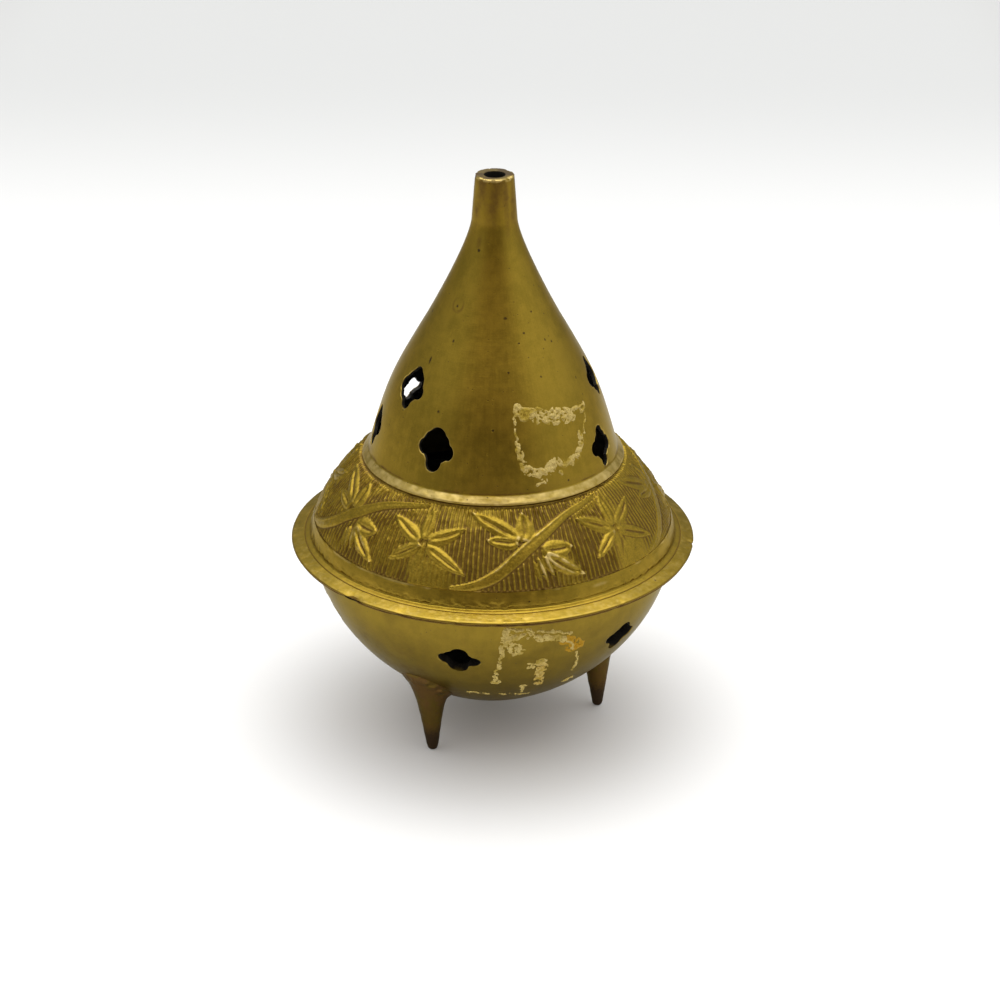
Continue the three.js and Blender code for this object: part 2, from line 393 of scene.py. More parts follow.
def grid_of(profile, columns):
    """The points of a profile turned about the axis, in rows."""
    return place_at(profile[:, :1], grid_turns(columns), profile[:, 1:])


def turn_of(points):
    return np.arctan2(points[..., 0], -points[..., 1])


def degrees_from(turns, middle=0):
    """How far turns lie from one that is given in degrees: from -180 to 180 degrees."""
    return (np.degrees(turns) - middle + 180) % 360 - 180


def add_mesh(name, points, faces):
    mesh = bpy.data.meshes.new(name)
    mesh.from_pydata(points.reshape(-1, 3).tolist(), [], faces)
    mesh.validate()
    piece = bpy.data.objects.new(name, mesh)
    bpy.context.scene.collection.objects.link(piece)
    return piece


def ring_faces(rows, columns, start=0):
    """Faces between rows of points, each row closed on itself."""
    index = np.arange(rows * columns).reshape(rows, columns) + start
    right = np.roll(index, -1, axis=1)
    quads = np.stack([index[:-1], index[1:], right[1:], right[:-1]], axis=-1)
    return quads.reshape(-1, 4).tolist()


def capped_faces(rows, columns, start=0):
    """Faces of rows that two centres close, one at each end, which come after the rows."""
    faces = ring_faces(rows, columns, start)
    first = np.arange(columns) + start
    last = first + (rows - 1) * columns
    centre = start + rows * columns
    for row, middle in ((first, centre), (last[::-1], centre + 1)):
        faces += [[middle, *side] for side in zip(row.tolist(), np.roll(row, -1).tolist())]
    return faces


def lifted(profile, out, columns, lift, lowest=-math.inf):
    """A profile turned about the axis and moved out of the metal, inside its own reach."""
    radii = np.minimum(profile[:, :1] + out[:, :1] * lift, profile[:, 0].max())
    heights = np.clip(profile[:, 1:] + out[:, 1:] * lift, lowest, profile[:, 1].max())
    return place_at(radii, grid_turns(columns), heights)


def closed_ring(name, profile, columns, lift):
    """A closed profile turned about the axis; lift moves its points out of the metal."""
    looped = np.concatenate([profile[-1:], profile, profile[:1]])
    points = lifted(profile, outward(looped)[1:-1], columns, lift)
    faces = np.array(ring_faces(len(profile) + 1, columns)) % (len(profile) * columns)
    return add_mesh(name, points, faces.tolist())


def capped_ring(name, profile, columns, lift):
    """An open profile turned about the axis, closed by a point on the axis at each end."""
    body = profile[1:-1]
    points = lifted(body, outward(profile)[1:-1], columns, lift, body[:, 1].min())
    ends = np.array([[0, 0, profile[0, 1]], [0, 0, profile[-1, 1]]])
    return add_mesh(
        name, np.concatenate([points.reshape(-1, 3), ends]), capped_faces(len(body), columns))


def vertex_points(piece):
    flat = np.empty(len(piece.data.vertices) * 3)
    piece.data.vertices.foreach_get("co", flat)
    return flat.reshape(-1, 3)


def set_mask(piece, name, values):
    """Stores a value at each point of a mesh, for its material to read."""
    layer = piece.data.attributes.new(name, "FLOAT", "POINT")
    layer.data.foreach_set("value", np.asarray(values, np.float32))


def smooth_shaded(piece, sharp_degrees):
    piece.data.shade_smooth()
    piece.data.set_sharp_from_angle(angle=math.radians(sharp_degrees))


POINTS_AT_ONCE = 20000


def depth_inside(points, outline):
    """How far points lie under an outside curve, measured square to it."""
    places = np.stack([np.hypot(points[:, 0], points[:, 1]), points[:, 2]], axis=1)
    depth = np.empty(len(places))
    out = outward(outline)
    for start in range(0, len(places), POINTS_AT_ONCE):
        part = slice(start, start + POINTS_AT_ONCE)
        gap = places[part, None] - outline[None]
        nearest = np.argmin((gap ** 2).sum(-1), axis=1)
        depth[part] = -(gap[np.arange(len(gap)), nearest] * out[nearest]).sum(-1)
    return depth


# Pierced vents

LID_VENTS = (
    # turn, height over the bell's foot, width, height, tilt, and the shape of the lobes
    (-56, 15.4, 6.8, 8.1, -4, "full"),
    (84.5, 14.7, 7.2, 8.1, -4, "broad"),
    (198, 15.5, 6.8, 8.2, 0, "broad"),
    (-29.2, 6.95, 7.2, 8.1, -3, "spade"),
    (-82, 5.1, 6.6, 8.1, 4, "spade"),
    (64.5, 4.0, 6.9, 7.7, -3, "cross"),
    (112, 5.2, 6.8, 8.2, 0, "broad"),
    (171, 5.2, 6.8, 8.2, 5, "spade"),
    (-130.8, 5.6, 5.9, 5.1, 0, "cross"),
)
BOWL_VENT_TURNS = range(-11, 349, 60)
BOWL_VENT = (7.7, 6.6, -7, "flat")
BOWL_VENT_DROP = 11.0 * MM
LOBES = {
    # reach towards the four notches, upper right first and round to the left, then reach and
    # radius of the right, upper, left and lower lobe, as shares of the half width and height
    "broad": ((0.8, 0.76, 0.74, 0.66), (0.66, 0.34), (0.62, 0.38), (0.64, 0.36), (0.66, 0.34)),
    "full": ((0.93, 0.86, 0.85, 0.68), (0.66, 0.34), (0.6, 0.4), (0.62, 0.38), (0.62, 0.38)),
    "spade": ((0.84, 0.88, 0.7, 0.66), (0.64, 0.36), (0.52, 0.48), (0.63, 0.37), (0.58, 0.42)),
    "cross": ((0.74, 0.74, 0.68, 0.64), (0.66, 0.34), (0.62, 0.38), (0.64, 0.36), (0.68, 0.32)),
    "flat": ((0.76, 0.84, 0.72, 0.72), (0.58, 0.42), (0.54, 0.46), (0.58, 0.42), (0.52, 0.48)),
}
VENT_STEPS = 72
VENT_WAVES = 4
VENT_WAVE_SIZE = 0.018
VENT_RINGS = (
    # how far each ring of a hole's cutter is grown sideways and moved out, in millimetres
    (0.3, 1.6),
    (0.24, 0.06),
    (0.09, -0.04),
    (0.02, -0.13),
    (0, -0.3),
)
VENT_OVERRUN = 1.6 * MM


class Vent:
    """A hole cut square through a wall, at a turn from the front and a height."""

    def __init__(self, outline, turn, height, width, tall, tilt, lobes, seed):
        row = int(np.argmin(abs(outline[:, 1] - height)))
        out_r, out_z = outward(outline)[row]
        radius = outline[row, 0]
        turn = math.radians(turn)
        radial = Vector((math.sin(turn), -math.cos(turn), 0))
        self.square = radial * out_r + Vector((0, 0, out_z))
        across = Vector((math.cos(turn), math.sin(turn), 0))
        self.across = Matrix.Rotation(math.radians(tilt), 3, self.square) @ across
        self.up = self.square.cross(self.across)
        self.centre = radial * radius + Vector((0, 0, outline[row, 1]))
        self.bend = radius / out_r
        self.half = width / 2, tall / 2
        self.core, *self.lobes = LOBES[lobes]
        drawn = np.random.default_rng(seed).uniform(-1, 1, (VENT_WAVES, 2))
        self.waves = drawn * VENT_WAVE_SIZE

    def reach(self, angles):
        """The outline's distance from the centre, as a share of the half width, by angle."""
        notch = (angles / (math.pi / 2) - 0.5) % 4
        found = np.interp(notch, range(5), [*self.core, self.core[0]])
        for quarter, (centre, radius) in enumerate(self.lobes):
            away = angles - quarter * math.pi / 2
            inside = radius ** 2 - (centre * np.sin(away)) ** 2
            hit = centre * np.cos(away) + np.sqrt(np.maximum(inside, 0))
            found = np.where((inside > 0) & (np.cos(away) > 0), np.maximum(found, hit), found)
        for wave, (sine, cosine) in enumerate(self.waves, start=2):
            found = found + sine * np.sin(wave * angles) + cosine * np.cos(wave * angles)
        return found

    def ring(self, grown, offset):
        """The outline on the wall's outside, grown sideways and moved out of the metal."""
        angles = grid_turns(VENT_STEPS)
        reach = self.reach(angles)
        sideways = np.cos(angles) * (reach * self.half[0] + grown)
        upwards = np.sin(angles) * (reach * self.half[1] + grown)
        outwards = offset - sideways ** 2 / (2 * self.bend)
        return (np.array(self.centre)
                + sideways[:, None] * np.array(self.across)
                + upwards[:, None] * np.array(self.up)
                + outwards[:, None] * np.array(self.square))

    def edge_distance(self, points):
        """How far points on the wall lie outside the outline, negative inside it."""
        away = points - np.array(self.centre)
        sideways = away @ np.array(self.across) / self.half[0]
        upwards = away @ np.array(self.up) / self.half[1]
        reach = self.reach(np.arctan2(upwards, sideways))
        gap = (np.hypot(sideways, upwards) - reach) * min(self.half)
        behind = away @ np.array(self.square) < -3 * max(self.half)
        return np.where(behind, 1, gap)


def vent_cutter(vents, wall):
    """One mesh of all the holes, with a worn round where each meets the outside."""
    points, faces = [], []
    for vent in vents:
        start = sum(len(done) for done in points)
        rows = [vent.ring(grown * MM, offset * MM) for grown, offset in VENT_RINGS]
        rows.append(vent.ring(0, -wall - VENT_OVERRUN))
        centres = [row.mean(axis=0, keepdims=True) for row in (rows[0], rows[-1])]
        points.append(np.concatenate(rows + centres))
        faces += capped_faces(len(rows), VENT_STEPS, start)
    return add_mesh("vent_cutter", np.concatenate(points), faces)


def pierce(piece, vents, wall):
    """Cuts the vents through a piece."""
    cutter = vent_cutter(vents, wall)
    modifier = piece.modifiers.new("Vents", "BOOLEAN")
    modifier.object = cutter
    modifier.operation = "DIFFERENCE"
    modifier.solver = "MANIFOLD"
    shaped = piece.evaluated_get(bpy.context.evaluated_depsgraph_get())
    pierced = bpy.data.meshes.new_from_object(shaped)
    piece.modifiers.clear()
    piece.data = pierced
    bpy.data.objects.remove(cutter)


def vent_wear_and_highlight(points, vents):
    """1 on the worn edge of a vent, which also carries a painted highlight, fading over the metal
    round it.
    """
    distance = np.full(len(points), 1.0)
    for vent in vents:
        distance = np.minimum(distance, abs(vent.edge_distance(points) - 0.1 * MM))
    return bump(distance, 0.15 * MM) * 0.5


# The vine and leaf pattern of the shoulder: places across and down the field, in millimetres,
# from the star leaf's turn and from the field's top

STAR_CENTRE = (0, 7.25)
LOBE_TABLE = (
    # root, tip, width, height share, groove share, bend
    ((-0.7, 7.3), (-7.3, 3.7), 2.9, 1.0, 0.85, 0.25),
    ((0.0, 6.8), (0.3, 0.7), 2.6, 0.9, 0.6, 0.0),
    ((0.8, 6.9), (7.4, 3.6), 2.7, 1.0, 0.85, 0.35),
    ((-0.5, 7.8), (-5.6, 11.8), 2.3, 1.1, 0.85, 0.1),
    ((0.8, 8.0), (8.1, 12.3), 2.5, 1.0, 0.85, -0.1),
    ((0.0, 8.0), (-0.7, 13.6), 1.4, 0.5, 0.3, 0.0),
    ((17.4, 5.9), (8.1, 0.6), 3.2, 1.0, 0.9, 0.2),
    ((17.1, 6.7), (11.3, 5.7), 2.7, 1.0, 0.85, 0.15),
    ((18.4, 6.2), (18.3, 0.7), 3.7, 1.0, 0.8, 0.15),
    ((21.4, 8.0), (26.8, 8.1), 3.7, 1.0, 0.9, 0.2),
    ((21.8, 8.7), (27.8, 13.7), 2.9, 1.2, 0.95, 0.25),
    ((21.5, 9.1), (22.5, 12.9), 1.2, 1.0, 0.0, 0.15),
    ((20.3, 9.4), (21.4, 13.7), 1.2, 0.95, 0.0, 0.1),
    ((19.5, 10.0), (20.1, 13.3), 0.9, 0.7, 0.0, 0.0),
)
VINE_POINTS = ((6.2, 14.75), (16.6, 13.7), (17.7, 2.7), (35.0, 0.55))
VINE_STEPS = 80
# Across the field, where its lower part is rubbed flat
RUBBED_PLACE = 2
# Turns, in degrees, where the dull side begins, is full, begins to end and has ended
DULL_SIDE = (45, 53, 82, 100)
MM_PER_DEGREE = 0.506


def leaf_lobe(across, down, root, tip, width, height, groove, bend):
    """A pointed leaf lobe, and its height with a raised rim and a hollow along its middle."""
    root, tip = np.array(root), np.array(tip)
    run = tip - root
    reach = np.hypot(*run)
    along = ((across - root[0]) * run[0] + (down - root[1]) * run[1]) / reach ** 2
    inside = np.clip(along, 0, 1)
    aside = ((across - root[0]) * run[1] - (down - root[1]) * run[0]) / reach
    aside = aside + bend * np.sin(math.pi * inside)
    half = width * 0.55 * (np.sin(math.pi * (0.07 + 0.93 * inside) ** 0.8) + 1e-6) ** 0.75
    dome = np.clip(1 - (aside / (half + 1e-6)) ** 2, 0, 1) ** 0.7 * (abs(along - 0.5) < 0.5)
    hollow = bump(aside, 0.12 * width) * smooth(0.0, 0.3, inside)
    hollow = hollow * (1 - smooth(0.7, 0.95, inside))
    return dome, height * dome * (1 - groove * hollow)


def vine_height(across, down, width):
    """The vine's ridge with a raised rim along its upper side, and the bare strip beside it."""
    t = np.linspace(0, 1, VINE_STEPS + 1)[:, None]
    line = cubic(t, *np.array(VINE_POINTS))
    halves = width / MM / 2 * (0.2 + 0.8 * np.sin(math.pi * (0.08 + 0.86 * t[:, 0] ** 0.85)))
    nearest = np.full(across.shape, np.inf)
    aside = np.full(across.shape, np.inf)
    half = np.ones(across.shape)
    segments = zip(line, np.diff(line, axis=0), halves, np.diff(halves))
    for start, run, first_half, growth in segments:
        right, below = across - start[0], down - start[1]
        part = np.clip((right * run[0] + below * run[1]) / (run @ run), 0, 1)
        right, below = right - part * run[0], below - part * run[1]
        gap = np.hypot(right, below)
        closer = gap < nearest
        upper = np.where(right * run[1] > below * run[0], 1, -1)
        nearest = np.where(closer, gap, nearest)
        aside = np.where(closer, gap * upper, aside)
        half = np.where(closer, first_half + part * growth, half)
    body = 0.72 * np.clip(1 - (aside / half) ** 2, 0, 1) ** 0.5
    edge = np.clip(1 - ((aside - half * 0.66) / (half * 0.34 + 0.08)) ** 2, 0, 1) ** 0.6
    return np.maximum(body, edge), smooth(0.3, 0.1, nearest - half)


def relief_height(turns, down, shoulder, points):
    """Height of the cast pattern over the shoulder's curve, and how much of it is leaf or vine."""
    repeat = math.degrees(FULL_TURN) / shoulder.repeats
    period = repeat * MM_PER_DEGREE
    degrees = np.degrees(turns - shoulder.first_turn)
    across = (degrees % repeat) * MM_PER_DEGREE
    down = down / MM
    wobble = noise(points, 4 * MM, 11) * 0.35
    leaves = np.zeros(across.shape)
    cover = np.zeros(across.shape)
    vine = np.zeros(across.shape)
    bare = np.zeros(across.shape)
    for shift in (-period, 0, period):
        moved = across + shift + wobble * 0.4
        level = down + noise(points, 5 * MM, 12) * 0.2
        for row in LOBE_TABLE:
            lobe, height = leaf_lobe(moved, level, *row)
            leaves = np.maximum(leaves, height)
            cover = np.maximum(cover, lobe * (height > 0))
        stem, beside = vine_height(moved, level, shoulder.vine_width)
        vine = np.maximum(vine, stem)
        bare = np.maximum(bare, beside)
    worn = 0.8 + 0.2 * smooth(-0.6, 0.4, layered_noise(points, 6 * MM, 21))
    aside = (across - RUBBED_PLACE + period / 2) % period - period / 2
    rubbed = smooth(9, 11.5, down) * (1 - smooth(2.5, 4.5, abs(aside)))
    begun, full, ending, ended = DULL_SIDE
    right = degrees_from(turns)
    dull_side = smooth(begun, full, right) * (1 - smooth(ending, ended, right))
    worn = worn * (1 - 0.75 * rubbed) * (1 - 0.6 * dull_side)
    phase = degrees / repeat * shoulder.ridges + wobble * 0.9
    phase = phase + noise(points, 1.6 * MM, 22) * 0.1
    ridge = (0.5 + 0.5 * np.cos(FULL_TURN * phase)) ** 1.9
    broken = 0.8 + 0.35 * noise(points, 0.9 * MM, 31)
    edges = smooth(-0.7, -0.4, down) * smooth(0.0, 0.5, shoulder.field / MM - down)
    hatch = shoulder.ridge_height * ridge * worn * broken * edges * (1 - bare)
    ground = -shoulder.ground_depth * (1 - 0.8 * rubbed) * (1 - 0.5 * dull_side) + hatch
    raised = np.maximum(leaves * shoulder.leaf_height, vine * shoulder.vine_height)
    cover = smooth(0.0, 0.3, np.maximum(cover, vine))
    crown = -shoulder.ground_depth + raised * (0.85 + 0.15 * worn) * (1 - 0.35 * dull_side)
    pit = bump(np.hypot(across - STAR_CENTRE[0], down - STAR_CENTRE[1]), 0.4) * 0.2 * MM
    return ground * (1 - cover) + crown * cover - pit, np.maximum(leaves, vine)


# Materials

class Value:
    """A number, colour or vector that varies over a surface: one output of a node."""

    def __init__(self, graph, socket):
        self.graph = graph
        self.socket = socket

    def math(self, operation, first, second):
        return self.graph.add("ShaderNodeMath", {"operation": operation}, {0: first, 1: second})

    def __add__(self, other):
        return self.math("ADD", self, other)

    def __sub__(self, other):
        return self.math("SUBTRACT", self, other)

    def __rsub__(self, other):
        return self.math("SUBTRACT", other, self)

    def __mul__(self, other):
        return self.math("MULTIPLY", self, other)

    def __truediv__(self, other):
        return self.math("DIVIDE", self, other)

    def __pow__(self, other):
        return self.math("POWER", self, other)

    __radd__ = __add__
    __rmul__ = __mul__

    def most(self, other):
        return self.math("MAXIMUM", self, other)

    def rise(self, low, high):
        """0 below low, 1 above high, with an even rise between them."""
        return self.graph.add("ShaderNodeMapRange", {"interpolation_type": "SMOOTHSTEP"}, {
            "Value": self, "From Min": low, "From Max": high})


class Graph:
    """The nodes of one material or world."""

    def __init__(self, owner):
        owner.use_nodes = True
        self.tree = owner.node_tree
        self.tree.nodes.clear()

    def add(self, kind, settings=None, sockets=None, output=0):
        """Adds one node: first its settings, then the values or links of its sockets."""
        node = self.tree.nodes.new(kind)
        for name, setting in (settings or {}).items():
            setattr(node, name, setting)
        for key, given in (sockets or {}).items():
            if isinstance(given, Value):
                self.tree.links.new(given.socket, node.inputs[key])
            else:
                node.inputs[key].default_value = given
        return Value(self, node.outputs[output]) if node.outputs else None

    def blend(self, factor, first, second):
        """A colour between two colours."""
        first, second = (given if isinstance(given, Value) else (*given, 1)
                         for given in (first, second))
        return self.add("ShaderNodeMix", {"data_type": "RGBA"}, {
            "Factor": factor, 6: first, 7: second}, output=2)

    def position(self):
        return self.add("ShaderNodeTexCoord", output="Object")

    def split(self, vector):
        parts = self.add("ShaderNodeSeparateXYZ", None, {0: vector})
        return [Value(self, socket) for socket in parts.socket.node.outputs]

    def vector(self, x, y, z):
        return self.add("ShaderNodeCombineXYZ", None, {0: x, 1: y, 2: z})

    def noise(self, vector, size, detail=3.0, roughness=0.5):
        """Smooth noise from 0 to 1 with blobs of the given size, in metres."""
        return self.add("ShaderNodeTexNoise", None, {
            "Vector": vector, "Scale": 1 / size, "Detail": detail, "Roughness": roughness})

    def cells(self, vector, size):
        """Distance to the nearest of scattered points, and a random number for each."""
        near = self.add("ShaderNodeTexVoronoi", None, {"Vector": vector, "Scale": 1 / size})
        tint = Value(self, near.socket.node.outputs["Color"])
        return near, self.split(tint)[0]

    def mask(self, name):
        return self.add("ShaderNodeAttribute", {"attribute_name": name}, output="Fac")

    def bumped(self, height, distance):
        return self.add("ShaderNodeBump", None, {"Height": height, "Distance": distance})

    def surface(self, sockets):
        """Adds the surface shader and the material's output."""
        shader = self.add("ShaderNodeBsdfPrincipled", None, sockets)
        self.add("ShaderNodeOutputMaterial", None, {"Surface": shader})


def from_axis(x, y):
    """Distance from the upright axis."""
    return (x * x + y * y) ** 0.5


def turned_lines(graph, place):
    """Fine lines left by the lathe: noise that is long round the axis and short along it."""
    x, y, z = graph.split(place)
    lines = graph.vector(from_axis(x, y) + x * 0.04, y * 0.04, z)
    fine = graph.noise(lines, 0.2 * MM, 2.0)
    broad = graph.noise(lines, 0.8 * MM, 2.0)
    return fine * 0.6 + broad * 0.4


def brushed_streaks(graph, place):
    """Faint streaks that run up and down, where the brass was rubbed."""
    x, y, z = graph.split(place)
    radius = from_axis(x, y) + 0.1 * MM
    streaks = graph.vector(x / radius * 0.02, y / radius * 0.02, z * 0.07)
    return graph.noise(streaks, 0.42 * MM, 3.0, 0.6)


def pits_in(graph, place, spacing, chance, size):
    """1 in round pits: one in a share of scattered cells, with sizes that differ."""
    near, drawn = graph.cells(place, spacing)
    reach = drawn.rise(1 - chance, 1.0) * size / spacing
    return (1 - (near - reach).rise(-0.02, 0.01)) * drawn.rise(1 - chance, 1.001 - chance)


def brass(name, finish, lathe, pitted, tarnish_level=0.0, cast=0.0, patina=0.0):
    """Aged brass: olive patina, lathe lines, pits, tarnish, worn edges and soot inside, with
    painted highlights among the worn edges and painted shade among the tarnish and the recesses.
    """
    material = bpy.data.materials.new(name)
    graph = Graph(material)
    place = graph.position()
    clouds = graph.noise(place, 13 * MM, 4.0, 0.6)
    blotches = graph.noise(place, 5 * MM, 4.0, 0.65)
    mottle = graph.noise(place, 1.9 * MM, 3.0, 0.65)
    grain = graph.noise(place, 0.3 * MM, 2.0, 0.6)
    lines = turned_lines(graph, place)
    streaks = brushed_streaks(graph, place)
    pits = pits_in(graph, place, 2.3 * MM, pitted * 0.5, 0.26 * MM)
    specks = pits_in(graph, place, 0.9 * MM, pitted * 0.7, 0.15 * MM)
    soot = graph.mask("soot")
    # The worn-edge mask also holds painted highlights, as well as real wear.
    wear_and_highlight = graph.mask("wear_and_highlight") * (0.5 + mottle)
    mark = (graph.mask("mark") + (grain - 0.5) * 0.6).rise(0.4, 0.9)
    tone = clouds * 0.3 + blotches * 0.4 + mottle * 0.3 + (streaks - 0.5) * 0.16
    tone = tone + (lines - 0.5) * 0.07 * lathe + (grain - 0.5) * (0.2 + cast * 0.7)
    film = (clouds - 0.5) * 0.5 + (blotches - 0.5) * 0.7 + patina
    # The stain mask also holds painted shade: under the bowl's lip and towards the chimney's top.
    tarnish_and_shade = graph.mask("stain_and_shade") + (clouds - 0.5) * 0.6 + (blotches - 0.5) * 0.6
    tarnish_and_shade = (tarnish_and_shade + (mottle - 0.5) * 0.8 + tarnish_level).rise(0.2, 0.95)
    # The recess mask holds tarnish in hollows and painted shade in grooves, creases, nicks and on
    # shaded edges.
    recess_tarnish_and_shade = (graph.mask("recess") * 0.95 + (mottle - 0.5) * 0.6).rise(0.3, 0.95)
    layers = (
        (film.rise(0.0, 1.0), finish.patina),
        (tarnish_and_shade * 0.85, finish.brown),
        (recess_tarnish_and_shade * 0.75, finish.brown),
        (wear_and_highlight.rise(0.2, 0.95), finish.pale),
        (pits.most(specks * 0.7) * 0.75, finish.dark),
        (mark * 0.9, finish.dark),
        (soot.rise(0.1, 0.8), finish.soot),
    )
    base = graph.blend(tone.rise(0.36, 0.64), finish.olive, finish.gold)
    for amount, tint in layers:
        base = graph.blend(amount, base, tint)
    dull = finish.shine + (mottle - 0.5) * 0.2 + (streaks - 0.5) * 0.1
    dull = dull + (lines - 0.5) * 0.08 * lathe + tarnish_and_shade * 0.14 + recess_tarnish_and_shade * 0.14 + soot * 0.4
    dull = dull + (0.07 + (grain - 0.5) * 0.3) * cast
    height = lines * lathe * 0.8 + streaks * 0.2 + grain * (0.5 + cast * 2.2) + mottle * 0.7
    graph.surface({
        "Base Color": base,
        "Metallic": 1 - soot.rise(0.1, 0.6) * 0.96,
        "Roughness": dull,
        "Normal": graph.bumped(height - pits * 2.5 - specks, 0.02 * MM),
        "Specular Tint": (*finish.glint, 1),
        "Coat Weight": finish.film,
        "Coat Roughness": finish.film_shine,
        "Coat IOR": 1.5,
    })
    return material


def crust(name, finish, fresh):
    """Dried adhesive: granular, cream to amber; the fresher it is, the paler."""
    material = bpy.data.materials.new(name)
    graph = Graph(material)
    place = graph.position()
    patches = graph.noise(place, 2.6 * MM, 2.0) - fresh * 0.1
    grains = graph.noise(place, 0.4 * MM, 3.0, 0.65)
    drops = graph.mask("amber") + (grains - 0.5) * 0.5
    base = graph.blend(patches.rise(0.42, 0.6), finish.cream, finish.straw)
    base = graph.blend(grains.rise(0.45, 0.7) * 0.6, base, finish.straw)
    base = graph.blend((0.75 - grains) * fresh, base, finish.fresh)
    graph.surface({
        "Base Color": graph.blend(drops.rise(0.3, 0.8), base, finish.amber),
        "Roughness": 0.45 + grains * 0.3,
        "Specular IOR Level": 0.25,
        "Normal": graph.bumped(grains, 0.12 * MM),
    })
    return material


# Pieces

def complete(piece, material, sharp_degrees, body, node=None):
    """Shades a piece, sets its material, makes it ride on its body and hides its CAD node."""
    smooth_shaded(piece, sharp_degrees)
    piece.data.materials.clear()
    piece.data.materials.append(material)
    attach(piece, body)
    if node:
        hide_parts(node)


def settings():
    return bpy.context.scene.burner


OUTLINE_SPACING = 0.3 * MM
CLEAN_DEPTH = 0.07 * MM


def brass_masks(piece, outline, wear_and_highlight, recess, stain_and_shade=0, mark=0, soot=0,
                clean=CLEAN_DEPTH, clean_share=0):
    """The masks that the brass reads; soot lies inside, deeper than the clean metal."""
    points = vertex_points(piece)
    depth = depth_inside(points, outline)
    inside = smooth(clean, 3 * clean, depth) * (1 - 0.8 * clean_share)
    set_mask(piece, "soot", np.maximum(inside, soot))
    for name, values in (("wear_and_highlight", wear_and_highlight), ("recess", recess), ("stain_and_shade", stain_and_shade), ("mark", mark)):
        set_mask(piece, name, np.broadcast_to(values, len(points)))


def around(points, turn, height):
    """How far points lie from a place on a turned wall: across it and above it."""
    radii = np.hypot(points[:, 0], points[:, 1])
    away = np.radians(degrees_from(turn_of(points), turn))
    return away * radii, points[:, 2] - height * MM


BELL_PITS = (
    # turn, height over the ground, width and height, all but the turn in millimetres
    (27.0, 81.6, 0.35, 0.3),
    (45.6, 79.8, 0.3, 0.3),
    (-49.0, 76.0, 0.3, 0.9),
    (-78.0, 82.6, 0.35, 0.4),
    (-34.2, 80.0, 0.3, 0.4),
    (-31.2, 68.6, 0.4, 0.4),
    (10.2, 75.7, 0.35, 0.3),
    (51.6, 79.2, 0.3, 0.3),
    (32.4, 74.4, 0.35, 0.3),
    (60.6, 72.2, 0.3, 0.3),
    (11.1, 84.3, 0.7, 0.3),
    (-41.5, 85.5, 0.35, 0.35),
    (-30.3, 95.1, 0.45, 0.4),
)
RING_STAIN = (-41.1, 85.7, 1.15)
RED_STREAK = (-33.0, 96.4, 0.75, 1.8)


def bell_marks(points):
    """The old stains and the dark pits of the bell."""
    turn, height, size = RING_STAIN
    aside, above = around(points, turn, height)
    ring = bump(np.hypot(aside, above) - size * MM, 0.3 * MM) * 0.45
    turn, height, width, tall = RED_STREAK
    aside, above = around(points, turn, height)
    streak = bump(np.hypot(aside / width, above / tall), MM) * 0.55
    pits = np.zeros(len(points))
    for turn, height, width, tall in BELL_PITS:
        aside, above = around(points, turn, height)
        pits = np.maximum(pits, bump(np.hypot(aside / width, above / tall), MM))
    return np.maximum(ring, streak), pits


# From the bead down to the groove under it, and to the groove's foot
GROOVE_TOP = 0.32 * MM
GROOVE_FOOT = 1.0 * MM


